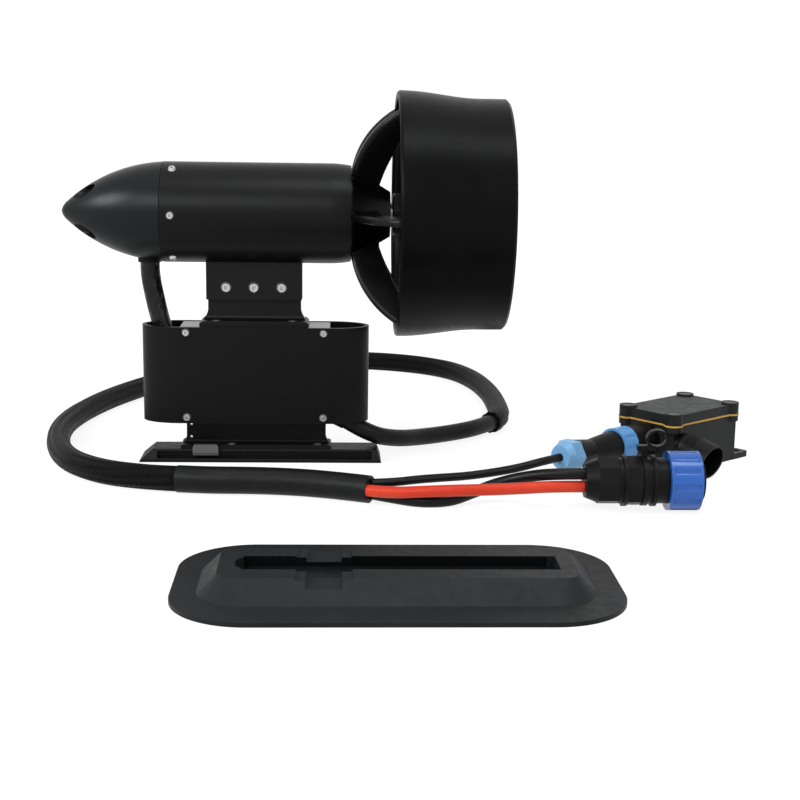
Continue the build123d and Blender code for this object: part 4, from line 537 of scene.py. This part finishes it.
def make_stage():
    """Pale floor that keeps the object's shadow and looks white to the camera and in glossy surfaces."""
    half = FLOOR_HALF
    mesh = bpy.data.meshes.new("floor")
    mesh.from_pydata([(-half, -half, 0), (half, -half, 0), (half, half, 0), (-half, half, 0)], [], [(0, 1, 2, 3)])
    floor = bpy.data.objects.new("floor", mesh)
    bpy.context.scene.collection.objects.link(floor)
    m = Nodes("floor_white")
    m.shader.inputs["Base Color"].default_value = (FLOOR_GREY, FLOOR_GREY, FLOOR_GREY, 1)
    m.shader.inputs["Roughness"].default_value = FLOOR_ROUGHNESS
    glow = m.new("ShaderNodeEmission")
    glow.inputs["Color"].default_value = (1, 1, 1, 1)
    path = m.new("ShaderNodeLightPath")
    seen = m.math("MAXIMUM", path.outputs["Is Camera Ray"], path.outputs["Is Glossy Ray"])
    seen = m.math("MAXIMUM", seen, path.outputs["Is Transmission Ray"])
    share = m.math("MULTIPLY", seen, GLOW_SHARE)
    place = m.new("ShaderNodeTexCoord")
    away = m.new("ShaderNodeVectorMath", operation="LENGTH")
    m.link(place.outputs["Object"], away.inputs[0])
    strength = m.range(away.outputs["Value"], GLOW_NEAR, GLOW_FAR, GLOW_AT_NEAR, GLOW_AT_FAR)
    m.link(strength, glow.inputs["Strength"])
    blend = m.new("ShaderNodeMixShader")
    m.link(share, blend.inputs[0])
    m.link(m.shader.outputs[0], blend.inputs[1])
    m.link(glow.outputs[0], blend.inputs[2])
    m.link(blend.outputs[0], m.out.inputs["Surface"])
    floor.data.materials.append(m.material)


def make_world():
    """White to the camera and in glossy surfaces; as light, soft from above, dim in front, brighter behind."""
    world = bpy.data.worlds.new("studio")
    bpy.context.scene.world = world
    world.use_nodes = True
    tree = world.node_tree
    tree.nodes.clear()

    def node(kind, **values):
        made = tree.nodes.new(kind)
        for key, value in values.items():
            setattr(made, key, value)
        return made

    def ramp(source, low, high, to_low, to_high):
        made = node("ShaderNodeMapRange", interpolation_type="SMOOTHSTEP")
        for key, value in (("From Min", low), ("From Max", high), ("To Min", to_low), ("To Max", to_high)):
            made.inputs[key].default_value = value
        tree.links.new(source, made.inputs["Value"])
        return made.outputs[0]

    def combine(operation, a, b):
        made = node("ShaderNodeMath", operation=operation)
        tree.links.new(a, made.inputs[0])
        tree.links.new(b, made.inputs[1])
        return made.outputs[0]

    direction = node("ShaderNodeTexCoord")
    parts = node("ShaderNodeSeparateXYZ")
    tree.links.new(direction.outputs["Generated"], parts.inputs[0])
    above = ramp(parts.outputs["Z"], 0.35, 0.95, FRONT_LIGHT, ABOVE_LIGHT)
    backdrop = combine("MULTIPLY", ramp(parts.outputs["Y"], 0.1, 0.7, 0.0, BACK_LIGHT),
                       ramp(parts.outputs["Z"], 0.25, 0.75, 1.0, 0.0))
    dim = node("ShaderNodeBackground")
    dim.inputs["Color"].default_value = (0.98, 0.99, 1.0, 1)
    tree.links.new(combine("ADD", above, backdrop), dim.inputs["Strength"])
    white = node("ShaderNodeBackground")
    white.inputs["Color"].default_value = (1, 1, 1, 1)
    white.inputs["Strength"].default_value = 1.0
    path = node("ShaderNodeLightPath")
    blend = node("ShaderNodeMixShader")
    seen = combine("MAXIMUM", path.outputs["Is Camera Ray"], path.outputs["Is Glossy Ray"])
    seen = combine("MAXIMUM", seen, path.outputs["Is Transmission Ray"])
    tree.links.new(seen, blend.inputs[0])
    tree.links.new(dim.outputs[0], blend.inputs[1])
    tree.links.new(white.outputs[0], blend.inputs[2])
    tree.links.new(blend.outputs[0], node("ShaderNodeOutputWorld").inputs["Surface"])


def area_light(name, place, target, width, height, power, colour):
    data = bpy.data.lights.new(name, "AREA")
    data.shape = "RECTANGLE"
    data.size = width
    data.size_y = height
    data.energy = power
    data.color = colour
    light = bpy.data.objects.new(name, data)
    light.location = place
    light.rotation_mode = "QUATERNION"
    light.rotation_quaternion = (Vector(target) - Vector(place)).to_track_quat("-Z", "Y")
    bpy.context.scene.collection.objects.link(light)


# Lamps: name, place, aim, width, height, power in watts, colour
LAMPS = [
    ("key", (-1.35, -0.7, 0.95), (-0.05, 0, 0.15), 0.6, 0.55, 19, (0.93, 0.97, 1.0)),
    ("fill", (1.3, -1.2, 0.9), (0.1, 0, 0.1), 0.9, 0.9, 6, (0.97, 0.99, 1.0)),
    ("front", (-0.4, -1.25, 0.9), (0.0, 0.0, 0.12), 0.9, 0.45, 8, (0.95, 0.98, 1.0)),
    ("over_duct", (0.3, -0.4, 1.5), (0.15, 0.0, 0.15), 0.8, 0.45, 7, (0.95, 0.98, 1.0)),
    ("top", (0.1, -0.1, 1.7), (0.05, 0.0, 0.1), 1.6, 1.2, 2, (1, 1, 1)),
]

make_stage()
make_world()
for lamp in LAMPS:
    area_light(*lamp)
